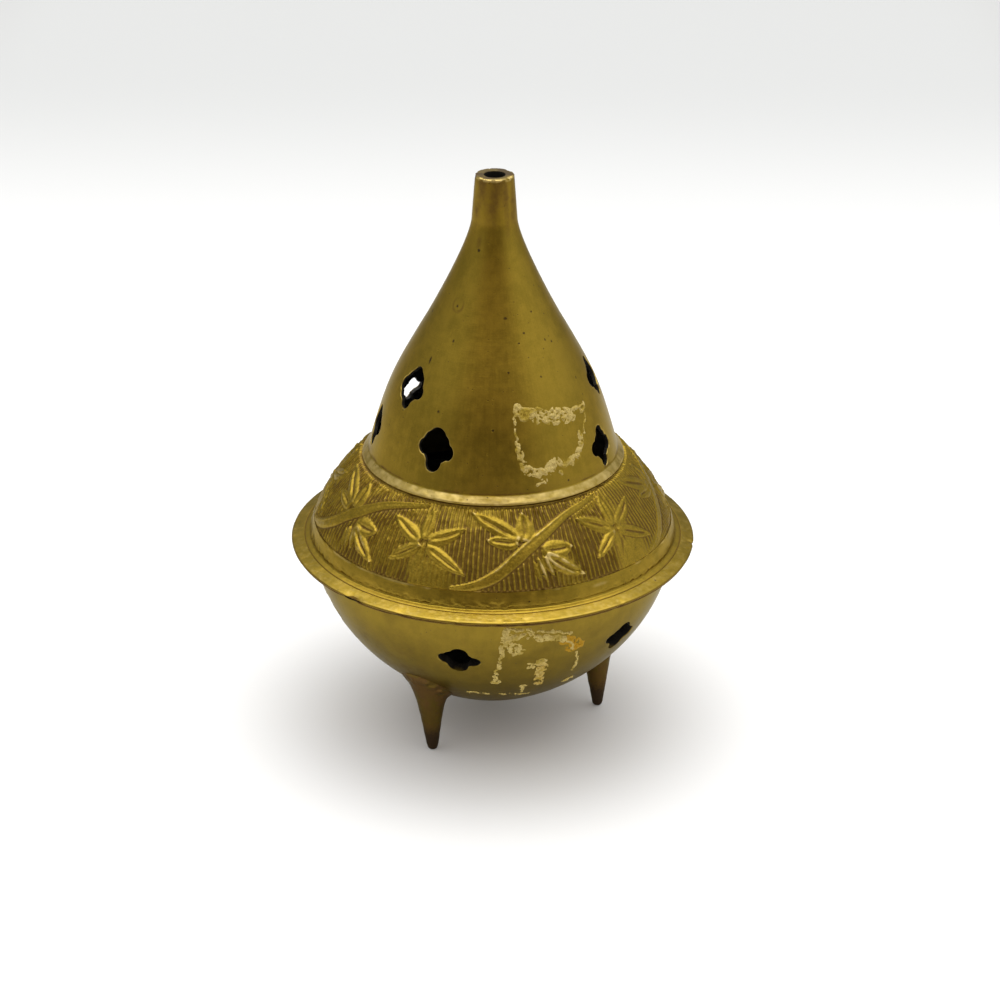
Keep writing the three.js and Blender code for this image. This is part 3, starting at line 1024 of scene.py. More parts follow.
class BURNER_OT_bell(bpy.types.Operator):
    """Make the chimney, the neck and the pierced bell"""

    bl_idname = "burner.bell"
    bl_label = "Bell and chimney"

    def execute(self, context):
        bell = settings().bell
        finish = settings().finish
        foot = bell_foot_height(bell)
        neck, belly = neck_curve(bell), bell_curve(bell)
        mouth = softened([
            (bell.bore_radius, bell.top - 1.5 * MM),
            (bell.bore_radius, bell.top),
            (bell.mouth_radius, bell.top),
            (bell.chimney_radius, bell.top - bell.chimney_height),
        ], bell.mouth_round)
        bead_radius = bell.foot_radius + bell.bead_width
        bead = softened([
            belly[-2],
            (bell.foot_radius, foot),
            (bead_radius, foot - bell.bead_drop),
            (bead_radius - bell.groove_depth, foot - bell.bead_drop - GROOVE_TOP),
            (bead_radius - bell.groove_depth, foot - bell.bead_drop - GROOVE_FOOT),
        ], 0.3 * MM)
        outside = joined(neck, belly[1:-1], bead[1:])
        inner = moved_out(joined(neck, belly[1:]), -bell.vent_wall)
        inner = inner[inner[:, 0] > bell.bore_radius][::-1]
        hidden = np.array([(bead_radius - bell.wall, foot - 2.4 * MM)])
        bore = np.array([(bell.bore_radius, inner[-1, 1])])
        profile = joined(
            spaced(mouth, 0.16 * MM), spaced(neck[1:], 0.36 * MM), spaced(belly[1:-1], 0.32 * MM),
            spaced(bead[1:], 0.14 * MM), hidden, spaced(inner, 1.0 * MM), bore)
        grid = grid_of(profile, bell.columns)
        from_rim = np.hypot(*(profile - [bell.mouth_radius, bell.top]).T)[:, None]
        nicks = np.clip(layered_noise(grid, 0.9 * MM, 5) - 0.1, 0, 1) * 0.2 * MM
        nicks = nicks * bump(from_rim, 0.5 * MM)
        bead_rows = (profile[:, 0] > bell.foot_radius) & (profile[:, 1] < foot)
        rough = layered_noise(grid, 1.2 * MM, 7) * 0.035 * MM * bead_rows[:, None]
        dents = noise(grid, 7 * MM, 3) * 0.025 * MM
        piece = closed_ring("lid_bell", profile, bell.columns, dents - nicks + rough)
        vents = [
            Vent(belly, turn, foot + rise * MM, width * MM, tall * MM, tilt, lobes, index)
            for index, (turn, rise, width, tall, tilt, lobes) in enumerate(LID_VENTS)]
        pierce(piece, vents, bell.vent_wall)
        points = vertex_points(piece)
        radii = np.hypot(points[:, 0], points[:, 1])
        facing = smooth(-0.2, 0.5, -points[:, 1] / (radii + 0.1 * MM))
        over_rim = np.hypot(radii - bell.mouth_radius + 0.1 * MM, points[:, 2] - bell.top)
        rim = bump(over_rim, 0.55 * MM) * facing
        rim = rim * smooth(-0.75, -0.1, noise(points, 0.8 * MM, 9))
        # Painted highlight on the bead's sloping ledge, kept off the groove below it.
        ledge = smooth(foot + 0.1 * MM, foot - 0.2 * MM, points[:, 2])
        ledge = ledge * (0.6 + 0.16 * layered_noise(points, 0.7 * MM, 14, 2))
        groove = smooth(foot - 1.25 * MM, foot - 1.6 * MM, points[:, 2])
        wear_and_highlight = np.maximum.reduce([vent_wear_and_highlight(points, vents), rim, ledge * (1 - groove)])
        over_bead = np.where(points[:, 2] > foot, points[:, 2] - foot, math.inf)
        low = bump(over_bead, 2.5 * MM) * 0.35
        # Darker just above the bead, in patches.
        dark_over_bead = bump(over_bead - 0.2 * MM, 0.4 * MM)
        dark_over_bead = dark_over_bead * smooth(-0.5, 0.3, noise(points, 2.5 * MM, 15))
        # Painted shade: the neck and the chimney darken towards the top, in bands.
        bands = smooth(-0.4, 0.5, noise(points * [1, 1, 0.12], 1.2 * MM, 8))
        top = bump(points[:, 2] - bell.top, 14 * MM) * (0.35 + 0.4 * bands)
        mouth_soot = smooth(bell.top - 0.15 * MM, bell.top - 0.05 * MM, points[:, 2])
        stains, marks = bell_marks(points)
        rim_face = mouth[mouth[:, 0] > bell.bore_radius + 0.05 * MM]
        brass_masks(
            piece, spaced(joined(rim_face[:-1], outside), OUTLINE_SPACING), wear_and_highlight,
            np.maximum(groove, dark_over_bead * 0.8), np.maximum.reduce([low, top, stains]), marks,
            mouth_soot * (1 - rim) * 0.5)
        material = brass("bell_brass", finish, lathe=1.0, pitted=0.5)
        complete(piece, material, 38, "lid", "lid")
        return {"FINISHED"}


# How the shoulder runs on under the bead: inwards and upwards from its top, in millimetres
TUCK_STEPS = ((1.8, -0.4), (1.5, 0.6), (0.85, 0.6), (0.75, 0.02))
LEDGE_RUN = 0.65 * MM
FIELD_SPACING = 0.195 * MM
COLUMNS_PER_RIDGE = 5
SLOPE_STEP = 0.17 * MM


class BURNER_OT_shoulder(bpy.types.Operator):
    """Make the shoulder with its cast vine, leaves and hatched ground"""

    bl_idname = "burner.shoulder"
    bl_label = "Patterned shoulder"

    def execute(self, context):
        bell, shoulder, flange = settings().bell, settings().shoulder, settings().flange
        curve = shoulder_curve(bell, shoulder, flange)
        foot = bell_foot_height(bell)
        ledge_start = curve[:1] + [-LEDGE_RUN, 0.03 * MM]
        field = spaced(joined(ledge_start, stretch(curve, 0, shoulder.field)), FIELD_SPACING)
        inside_metal = curve[0] + np.array(TUCK_STEPS) * [-MM, MM]
        tuck = shoulder.field + 0.9 * MM
        under_band = moved_out(stretch(curve, shoulder.field + 0.2 * MM, tuck), -0.45 * MM)
        inner = spaced(moved_out(stretch(curve, 0, tuck), -bell.wall)[::-1], 2 * MM)
        profile = joined(inside_metal, field, under_band[[0, -1]], inner)
        columns = shoulder.repeats * shoulder.ridges * COLUMNS_PER_RIDGE
        turns = grid_turns(columns)
        grid = grid_of(field, columns)
        down = np.broadcast_to((lengths_along(field) - LEDGE_RUN)[:, None], grid.shape[:2])
        height, raised = relief_height(np.broadcast_to(turns, down.shape), down, shoulder, grid)
        rough = layered_noise(grid, 0.6 * MM, 41, 2) * 0.045 * MM
        rough = rough + noise(grid, 5 * MM, 43) * 0.04 * MM
        ends = smooth(0, 0.3 * MM, down + LEDGE_RUN)
        ends = ends * smooth(0, 0.4 * MM, shoulder.field - down)
        patterned = slice(len(inside_metal), len(inside_metal) + len(field))
        lift = np.zeros((len(profile), columns))
        lift[patterned] = height * (0.3 + 0.7 * ends) + rough
        piece = closed_ring("lid_shoulder", profile, columns, lift)
        steep = (np.gradient(height, FIELD_SPACING, axis=0) ** 2
                 + np.gradient(height, SLOPE_STEP, axis=1) ** 2)
        # The hollows: tarnish, made darker as painted shade.
        hollow_patches = 0.6 + 0.5 * smooth(-0.35, 0.35, layered_noise(grid, 5 * MM, 45))
        deep = smooth(0.02 * MM, -0.16 * MM, height) * (1 - raised * 0.6) * hollow_patches
        # Pale crests: wear on the raised pattern, plus painted highlight in spots, strongest from
        # the front to about 35 degrees right.
        front = degrees_from(turns)
        painted_highlight_turns = smooth(-9, 3, front) * smooth(40, 30, front)
        wear_and_highlight_level = 0.3 + 0.25 * smooth(-0.2, 0.5, noise(grid, 9 * MM, 47)) + 0.7 * painted_highlight_turns
        highlight_spots = 1 + 0.75 * layered_noise(grid, 0.8 * MM, 48, 2)
        crest_wear_and_highlight = smooth(0.1 * MM, 0.32 * MM, height) * wear_and_highlight_level * highlight_spots
        wear_and_highlight = np.zeros(lift.shape)
        wear_and_highlight[patterned] = crest_wear_and_highlight
        recess = np.zeros(lift.shape)
        # Painted shade under the bead and on the steep sides of the pattern.
        recess[:len(inside_metal)] = 0.7
        recess[patterned] = deep + np.clip(steep, 0, 1) * 0.25
        brass_masks(piece, curve, wear_and_highlight.ravel(), recess.ravel(), clean=0.7 * MM)
        material = brass("shoulder_brass", settings().finish, lathe=0.2, pitted=0.6, cast=1.0)
        complete(piece, material, 80, "lid", "lid")
        return {"FINISHED"}


FLANGE_NICKS = (
    # turn, width in degrees, depth
    (-41.5, 2.6, 0.5),
    (-25, 1.6, 0.16),
    (-9, 0.8, 0.14),
    (2, 0.7, 0.12),
    (9.6, 0.6, 0.12),
    (38, 1.0, 0.1),
    (83, 0.9, 0.22),
    (131, 1.4, 0.2),
    (204, 1.1, 0.25),
)


# turn, width in degrees, and place down the band in millimetres
BAND_SCRAPE = (35, 4, 1.75)
# How the rim steps down: outwards and upwards in millimetres, from the band's foot and then
# from the cove's root, with the crease third
BAND_STEPS = ((0.02, -0.18), (0.16, -0.5))
COVE_STEPS = ((0, 0), (0.28, -0.1), (0.38, -0.2), (0.5, -0.08))
SEAT_GAP = 0.015 * MM
EDGE_CUT = 0.12 * MM


def edge_nicks(turns, table):
    """Depth of the nicks in an edge, by turn."""
    depth = np.zeros(turns.shape)
    for turn, width, deep in table:
        depth = np.maximum(depth, bump(degrees_from(turns, turn), width) * deep * MM)
    return depth


class BURNER_OT_flange(bpy.types.Operator):
    """Make the plain band, the cove and the flange of the lid"""

    bl_idname = "burner.flange"
    bl_label = "Flange of the lid"

    def execute(self, context):
        bell, shoulder, flange = settings().bell, settings().shoulder, settings().flange
        curve = shoulder_curve(bell, shoulder, flange)
        lower = stretch(curve, shoulder.field, lengths_along(curve)[-1])
        band = moved_out(lower, 0.05 * MM)
        sunk = moved_out(lower, -0.6 * MM)[:1]
        foot = np.array([flange.band_radius, flange.seat + flange.band_rise])
        root = foot + [flange.cove_width, -flange.cove_drop]
        lip_top = flange.seat + flange.lip
        underside = flange.seat + SEAT_GAP
        rim = softened([
            band[-1],
            *(foot + np.array(BAND_STEPS) * MM),
            *(root + np.array(COVE_STEPS) * MM),
            (flange.radius - 0.25 * MM, lip_top + 0.06 * MM),
            (flange.radius, lip_top - EDGE_CUT),
            (flange.radius, flange.seat + EDGE_CUT),
            (flange.radius - 0.14 * MM, underside),
            (flange.mouth_radius, underside),
        ], 0.1 * MM, 3)
        rebate_height = flange.seat + flange.rebate
        inner_wall = moved_out(lower, -bell.wall)[::-1]
        inner_wall = inner_wall[inner_wall[:, 1] > rebate_height]
        rebate = np.array([
            (flange.mouth_radius, rebate_height),
            (inner_wall[0, 0], rebate_height),
        ])
        top = spaced(band, 0.2 * MM)
        outer = spaced(rim[1:], 0.13 * MM)
        outer = np.concatenate([outer[outer[:, 1] > flange.seat + 0.02 * MM], rim[-1:]])
        profile = joined(sunk, top, outer, rebate, spaced(inner_wall[1:], 1 * MM))
        row = np.arange(len(profile))[:, None]
        radii, heights = profile[:, :1], profile[:, 1:]
        along = lengths_along(profile)[:, None]
        above_seat = heights > flange.seat + 0.02 * MM
        outside = above_seat & (row < len(top) + len(outer))

        turns = grid_turns(flange.columns)
        grid = grid_of(profile, flange.columns)
        edge = bump(radii - flange.radius, 0.9 * MM) * above_seat
        nicks = edge_nicks(turns, FLANGE_NICKS) * edge
        step = bump(radii - flange.band_radius, 0.14 * MM) * (heights > flange.seat + MM)
        band_foot = place_at(np.array([[flange.band_radius]]), turns, 0)
        patchy = 0.35 + 0.65 * smooth(-0.4, 0.3, noise(band_foot, 9 * MM, 51))
        ragged = layered_noise(grid, 0.7 * MM, 52) * 0.12 * MM * step * patchy
        lip = bump(along - along[2], 0.3 * MM)
        broken = layered_noise(grid, 1.2 * MM, 53) * 0.07 * MM * lip
        rough = noise(grid, 0.5 * MM, 54) * 0.012 + noise(grid, 4 * MM, 55) * 0.03
        lift = rough * MM * outside + ragged + broken - nicks
        piece = closed_ring("lid_flange", profile, flange.columns, lift)

        # Pale patches along the band's foot: wear and painted highlight.
        wear_and_highlight = step * patchy * 0.3 * smooth(-0.3, 0.5, layered_noise(grid, 1.2 * MM, 56))
        wear_and_highlight = wear_and_highlight + edge * 0.35 + lip * 0.6 * smooth(0.0, 0.5, noise(grid, 3 * MM, 57))
        flat = smooth(foot[0] + 1.0 * MM, foot[0] + 1.4 * MM, radii)
        flat = flat * (heights > flange.seat + 0.35 * MM)
        flat = flat * (0.3 + 0.14 * layered_noise(grid, 0.5 * MM, 58, 2))
        turn, width, place = BAND_SCRAPE
        scrape = bump(degrees_from(turns, turn), width) * bump(along - place * MM, 0.5 * MM)
        wear_and_highlight = np.maximum(np.maximum(wear_and_highlight, flat) * outside, scrape * 0.55)
        # Painted shade in the cove's creases, in the nicks and on the flange's outer edge.
        crease = root[0] + COVE_STEPS[2][0] * MM
        creases = (bump(radii - crease, 0.16 * MM)
                   + bump(radii - foot[0] - 0.3 * MM, 0.25 * MM) * 0.4)
        side = smooth(flange.radius - 0.12 * MM, flange.radius - 0.04 * MM, radii)
        recess = np.maximum(creases * (row > len(top)) + nicks / MM * 2, side * outside * 0.8)
        brass_masks(
            piece, spaced(joined(curve, rim[1:-3]), OUTLINE_SPACING),
            (wear_and_highlight * (1 - side)).ravel(), recess.ravel(), clean=0.6 * MM)
        material = brass("flange_brass", settings().finish, lathe=1.0, pitted=0.5)
        complete(piece, material, 60, "lid", "lid")
        return {"FINISHED"}


# How far round the bowl's nicks lie from the flange's, in radians
NICK_SHIFT = 0.035
# From the seat down to the lip's root
LIP_ROOT = 1.05 * MM


class BURNER_OT_bowl(bpy.types.Operator):
    """Make the pierced bowl with its lip and collar"""

    bl_idname = "burner.bowl"
    bl_label = "Bowl"

    def execute(self, context):
        bowl, flange, finish = settings().bowl, settings().flange, settings().finish
        side = bowl_curve(bowl, flange)
        seat = flange.seat - SEAT_GAP
        lip_radius = flange.radius - bowl.lip_setback
        collar_inside = bowl.collar_radius - bowl.collar_wall
        collar_top = flange.seat + bowl.collar_height
        floor = bowl.foot + bowl.floor
        inner = moved_out(side, -bowl.wall)[::-1]
        inner = inner[inner[:, 1] > floor]
        inside = softened([
            (0, floor),
            (inner[0, 0] - bowl.wall, floor),
            *inner[2::8],
            inner[-1],
            (collar_inside, flange.seat),
            (collar_inside, collar_top),
            (bowl.collar_radius, collar_top),
            (bowl.collar_radius, seat),
        ], 0.25 * MM)
        lip = softened([
            (bowl.collar_radius, seat),
            (lip_radius - EDGE_CUT, seat),
            (lip_radius, seat - EDGE_CUT),
            (lip_radius, seat - bowl.lip + 0.08 * MM),
            (lip_radius - EDGE_CUT, seat - bowl.lip),
            (bowl.radius + bowl.lip_fillet, flange.seat - LIP_ROOT),
            side[0],
            side[4],
        ], 0.25 * MM, 3)
        underside = softened([side[-6], side[-1], (0, bowl.foot)], 2.5 * MM, 8)
        profile = joined(
            spaced(inside, 1.0 * MM), spaced(lip[1:], 0.16 * MM), spaced(side[5:-6], 0.4 * MM),
            spaced(underside, 0.8 * MM))
        body = profile[1:-1]
        from_lip = np.hypot(*(body - [lip_radius, seat - bowl.lip / 2]).T)[:, None]
        turns = grid_turns(bowl.columns) + NICK_SHIFT
        nicks = edge_nicks(turns, FLANGE_NICKS) * bump(from_lip, 0.6 * MM) * 1.2
        dents = noise(grid_of(body, bowl.columns), 8 * MM, 61) * 0.03 * MM
        piece = capped_ring("bowl_shell", profile, bowl.columns, dents - nicks)
        width, tall, tilt, lobes = BOWL_VENT
        vent_height = flange.seat - BOWL_VENT_DROP
        vents = [
            Vent(side, turn, vent_height, width * MM, tall * MM, tilt, lobes, 20 + turn)
            for turn in BOWL_VENT_TURNS]
        pierce(piece, vents, bowl.wall)
        points = vertex_points(piece)
        wear_and_highlight = vent_wear_and_highlight(points, vents) * 0.75
        radii = np.hypot(points[:, 0], points[:, 1])
        on_lip = bump(np.hypot(radii - lip_radius, points[:, 2] - seat + bowl.lip), 0.3 * MM)
        legs = leg_centres(settings().legs)
        near_leg = np.min([np.hypot(*(points[:, :2] - centre).T) for centre in legs], axis=0)
        outside = depth_inside(points, side) < 0.3 * MM
        # Stains near the legs, and darker towards the bottom.
        stain_and_shade = np.maximum(
            bump(near_leg, 7 * MM) * 0.9,
            smooth(17 * MM, 7 * MM, points[:, 2]) * 0.55) * outside
        # Painted shadow under the lip.
        painted_lip_shadow = bump(points[:, 2] - seat + bowl.lip, 1.2 * MM) * (radii > bowl.radius)
        # The lip's outer face: tarnish and painted shade.
        lip_side = smooth(lip_radius - 0.15 * MM, lip_radius - 0.05 * MM, radii)
        seat_face = smooth(bowl.collar_radius - 0.3 * MM, bowl.collar_radius, radii)
        seat_face = seat_face * smooth(seat - 0.3 * MM, seat - 0.1 * MM, points[:, 2])
        stain_and_shade = np.maximum.reduce([stain_and_shade, painted_lip_shadow * 0.5, seat_face * 0.75])
        brass_masks(
            piece, spaced(joined(lip[4:], side[5:-6], underside), OUTLINE_SPACING),
            np.maximum(wear_and_highlight, on_lip * 0.2), lip_side * 0.9, stain_and_shade, clean_share=seat_face)
        material = brass(
            "bowl_brass", finish, lathe=0.8, pitted=0.45, tarnish_level=0.1, patina=0.5)
        complete(piece, material, 38, "base", "bowl")
        return {"FINISHED"}


LEGS = (
    # name, how far its foot and its root stand to the left, then the size of the braze round
    # the root, and the turn and the size of its thickest lump, in degrees and millimetres
    ("leg_front_left", 0.4, 0.45, 1.3, -95, 1.2),
    ("leg_right", 0.1, 1.1, 0.4, 90, 0.1),
    ("leg_rear", 0, 0, 0.9, -150, 0.6),
)


LEG_COLUMNS = 120
SWELL_STEPS = 12
# How far the braze reaches down from the bowl, and how far below the leg's end it is full
BRAZE_REACH = 1.1 * MM
BRAZE_FADE = 4.5 * MM
# How wide a lump of braze is round the leg, in degrees
LUMP_WIDTH = 60


def leg_turns(legs):
    return [legs.first_turn + FULL_TURN * index / len(LEGS) for index in range(len(LEGS))]


def leg_centres(legs):
    return [place_at(legs.circle_radius, turn, 0)[:2] for turn in leg_turns(legs)]


class BURNER_OT_legs(bpy.types.Operator):
    """Make the three spike legs with their brazed roots"""

    bl_idname = "burner.legs"
    bl_label = "Legs"

    def execute(self, context):
        legs, bowl, flange = settings().legs, settings().bowl, settings().flange
        side = bowl_curve(bowl, flange)[::-1]

        def under_bowl(places):
            return np.interp(np.hypot(places[..., 0], places[..., 1]), *side.T) - places[..., 2]

        root_height = np.interp(legs.circle_radius, *side.T)
        shape = softened([
            (0, 0),
            (legs.flat_radius, 0),
            (legs.tip_radius, legs.tip_round),
            (legs.tip_radius + legs.taper * legs.reach, legs.reach),
        ], 0.3 * MM)
        rows = spaced(shape, 0.14 * MM)[1:]
        material = brass(
            "leg_brass", settings().finish, lathe=0.0, pitted=0.9, tarnish_level=0.22, patina=0.95)
        for index, (name, *shifts, braze, lump_turn, lump) in enumerate(LEGS):
            points = grid_of(rows, LEG_COLUMNS)
            points[..., 1] -= points[..., 2] * math.tan(legs.splay) + legs.circle_radius
            points = points @ np.array(Matrix.Rotation(leg_turns(legs)[index], 3, "Z")).T
            points[..., 0] -= np.interp(points[..., 2], [0, root_height], shifts) * MM
            away = points - points.mean(axis=1, keepdims=True)
            away /= np.linalg.norm(away, axis=-1, keepdims=True)
            off_lump = degrees_from(turn_of(away[-1]), lump_turn)
            size = braze + lump * bump(off_lump, LUMP_WIDTH)
            size = (size + 0.3 * noise(points[-1], 2.2 * MM, 90 + index)) * MM
            size = size * smooth(legs.reach, legs.reach - BRAZE_FADE, points[..., 2])
            swell = np.zeros(size.shape)
            for _ in range(SWELL_STEPS):
                gap = np.clip(under_bowl(points + away * swell[..., None]), 0, 1)
                swell = (swell + size * np.exp(-gap / BRAZE_REACH)) / 2
            lumps = layered_noise(points, 1.1 * MM, 70 + index, 2) * 0.22 * MM
            lumps = lumps * bump(gap - 0.9 * MM, 0.7 * MM)
            dents = layered_noise(points, 2.5 * MM, 80 + index) * 0.06 * MM
            over_foot = smooth(0, 1.2 * MM, points[..., 2])
            points = points + away * ((swell + lumps + dents) * over_foot)[..., None]
            points[..., 2] += np.minimum(under_bowl(points) + legs.sink, 0)
            ends = points[[0, -1]].mean(axis=1)
            ends[1, 2] += min(under_bowl(ends[1]) + legs.sink, 0)
            faces = [face[::-1] for face in capped_faces(len(rows), LEG_COLUMNS)]
            piece = add_mesh(
                name + "_spike", np.concatenate([points.reshape(-1, 3), ends]), faces)
            places = vertex_points(piece)
            near_bowl = under_bowl(places)
            rust = smooth(-0.3, 0.4, layered_noise(places, 1.8 * MM, 95))
            rust = rust * bump(near_bowl, 4 * MM)
            dark_tip = smooth(10 * MM, 1.5 * MM, places[:, 2])
            set_mask(piece, "stain_and_shade", 0.25 + rust * 0.6 + dark_tip * 0.35)
            set_mask(piece, "mark", dark_tip * 0.95)
            set_mask(piece, "recess", bump(near_bowl, 1.2 * MM) * 0.4)
            complete(piece, material, 60, "base", name)
        return {"FINISHED"}


# Strokes of residue: places as turn in degrees and height over the ground in millimetres, then
# the width in millimetres, the strength and how amber it is
LID_RESIDUE = (
    (((12.6, 70.2), (19.0, 69.8), (26.0, 69.2), (34.0, 68.7), (42.0, 68.2), (50.0, 67.9),
      (57.8, 67.6)), 0.7, 0.85, 0.0),
    (((14.9, 69.0), (21.8, 68.5), (29.9, 67.7), (38.9, 67.3), (47.0, 66.9)), 1.7, 1.0, 0.0),
    (((51.0, 67.0), (56.6, 66.9)), 0.8, 0.7, 0.0),
    (((12.4, 70.0), (12.0, 66.2), (12.5, 63.7)), 0.4, 0.7, 0.0),
    (((12.6, 64.4), (12.8, 63.0), (13.6, 61.2), (15.6, 60.0)), 1.0, 1.0, 0.0),
    (((15.5, 60.1), (18.0, 59.1), (21.8, 58.6), (26.5, 58.6)), 1.3, 1.0, 0.35),
    (((28.5, 59.4), (30.5, 60.2)), 1.5, 0.75, 0.1),
    (((33.1, 59.6), (37.0, 59.2), (41.5, 59.5)), 1.2, 0.85, 0.2),
    (((44.5, 60.0), (47.6, 61.5), (49.6, 63.2)), 1.1, 1.0, 0.1),
    (((57.6, 67.0), (55.0, 64.8), (52.4, 63.0)), 0.4, 0.6, 0.0),
    (((20.6, 56.9), (24.6, 57.2)), 0.7, 0.85, 0.0),
    (((33.2, 58.0), (33.8, 57.9)), 0.6, 0.8, 0.0),
)
BOWL_RESIDUE = (
    (((4.7, 33.8), (3.8, 30.3), (3.0, 27.0), (1.9, 22.9), (0.5, 19.4)), 0.7, 1.0, 0.0),
    (((0.8, 19.6), (2.8, 19.9)), 0.9, 0.95, 0.0),
    (((4.7, 33.8), (10.7, 33.3), (18.1, 32.5), (25.2, 31.5)), 0.6, 0.85, 0.0),
    (((4.6, 31.0), (8.6, 32.2), (13.0, 31.9), (17.5, 31.0), (22.2, 30.4), (25.5, 29.2),
      (28.0, 27.6)), 1.1, 1.0, 0.25),
    (((5.0, 31.4), (6.4, 30.2), (7.4, 28.8)), 2.6, 0.7, 0.0),
    (((24.6, 29.4), (28.2, 27.8)), 2.5, 1.0, 0.9),
    (((29.4, 26.6), (31.2, 23.5), (31.8, 20.5)), 0.5, 0.8, 0.05),
    (((35.0, 17.4), (32.4, 16.6)), 0.6, 0.8, 0.0),
    (((13.4, 24.2), (15.0, 25.0), (17.6, 25.4)), 1.2, 0.9, 0.1),
    (((17.9, 24.0), (18.3, 21.6), (19.2, 18.2)), 1.7, 0.85, 0.45),
    (((12.8, 17.6), (13.6, 15.4)), 1.0, 0.8, 0.0),
    (((-11.0, 15.3), (-0.7, 14.9), (9.0, 14.2), (18.0, 13.4)), 0.9, 0.5, 0.0),
)
STROKE_SPACING = 0.5
CRUST_SPACING = 0.11
CRUST_EDGE = -0.12
CRUST_SINK = 0.25 * MM


def stroke_fields(places, strokes, scale):
    """How strongly the strokes cover places, and how amber they are there."""
    cover = np.zeros(places.shape[:-1])
    amber = np.zeros(places.shape[:-1])
    for points, width, strength, tint in strokes:
        line = spaced(np.array(points) * [1, 1 / scale], STROKE_SPACING) * [1, scale]
        for place in line:
            away = places - place
            gap = np.hypot(away[..., 0] * scale, away[..., 1])
            near = np.clip(1.5 - gap / (width / 2), 0, 1) * strength
            amber = np.where(near > cover, tint, amber)
            cover = np.maximum(cover, near)
    return cover, amber


def crust_faces(keep):
    """Quads over and under the kept places of a grid, and the walls round them."""
    wide = keep[:-1, :-1] | keep[1:, :-1] | keep[:-1, 1:] | keep[1:, 1:]
    index = np.arange(keep.size).reshape(keep.shape)
    corners = np.stack([
        index[:-1, :-1],
        index[1:, :-1],
        index[1:, 1:],
        index[:-1, 1:],
    ], axis=-1)[wide]
    edges = {}
    for face in corners.tolist():
        for start, end in zip(face, face[1:] + face[:1]):
            if (end, start) in edges:
                del edges[(end, start)]
            else:
                edges[(start, end)] = True
    walls = [[end, start, start + keep.size, end + keep.size] for start, end in edges]
    return np.concatenate([corners, corners[:, ::-1] + keep.size, walls])


def add_crust(name, outline, strokes, turn_range, height_range, thickness, seed, fresh, body):
    """A thin crust that hugs a wall: only where it stands out of the metal is it kept."""
    order = np.argsort(outline[:, 1])
    out = outward(outline)
    middle = np.interp(sum(height_range) / 2 * MM, outline[order, 1], outline[order, 0]) / MM
    scale = math.radians(1) * middle
    columns = int((turn_range[1] - turn_range[0]) * scale / CRUST_SPACING)
    rows = int((height_range[1] - height_range[0]) / CRUST_SPACING)
    turns, heights = np.meshgrid(
        np.linspace(*turn_range, columns), np.linspace(*height_range[::-1], rows))
    radii, out_r, out_z = (
        np.interp(heights * MM, outline[order, 1], column[order])
        for column in (outline[:, 0], out[:, 0], out[:, 1]))
    flat = place_at(radii, np.radians(turns), heights * MM)
    warp = np.stack([noise(flat, 1.1 * MM, seed), noise(flat, 1.1 * MM, seed + 1)], axis=-1)
    places = np.stack([turns, heights], axis=-1) + warp * [0.5 / scale, 0.5]
    cover, amber = stroke_fields(places, strokes, scale)
    full = cover * (0.82 + 1.15 * layered_noise(flat, 0.5 * MM, seed + 2, 2)) - 0.3
    square = place_at(out_r, np.radians(turns), out_z)
    upper = flat + square * (np.clip(full, CRUST_EDGE, 1) * thickness)[..., None]
    lower = flat - square * CRUST_SINK
    faces = crust_faces(full > CRUST_EDGE)
    used, renumbered = np.unique(faces, return_inverse=True)
    points = np.concatenate([upper.reshape(-1, 3), lower.reshape(-1, 3)])[used]
    piece = add_mesh(name, points, renumbered.reshape(faces.shape).tolist())
    set_mask(piece, "amber", np.tile(amber.ravel(), 2)[used])
    complete(piece, crust(name + "_crust", settings().finish, fresh), 60, body)


class BURNER_OT_residue(bpy.types.Operator):
    """Make the dried adhesive on the bell and on the bowl"""

    bl_idname = "burner.residue"
    bl_label = "Adhesive residue"

    def execute(self, context):
        bell, bowl, flange = settings().bell, settings().bowl, settings().flange
        add_crust("lid_residue", bell_curve(bell), LID_RESIDUE, (9, 62), (55.8, 72), 0.28 * MM,
                  101, 0.0, "lid")
        add_crust("bowl_residue", bowl_curve(bowl, flange), BOWL_RESIDUE, (-14, 39), (12.4, 34.9),
                  0.3 * MM, 121, 0.8, "base")
        return {"FINISHED"}


class BURNER_OT_stage(bpy.types.Operator):
    """Make the pale floor, the soft light and the camera"""

    bl_idname = "burner.stage"
    bl_label = "Studio"

    def execute(self, context):
        studio = settings().studio
        add_floor(studio)
        light_world(studio)
        add_key_light(studio)
        add_camera(studio)
        context.scene.view_settings.view_transform = "Standard"
        return {"FINISHED"}


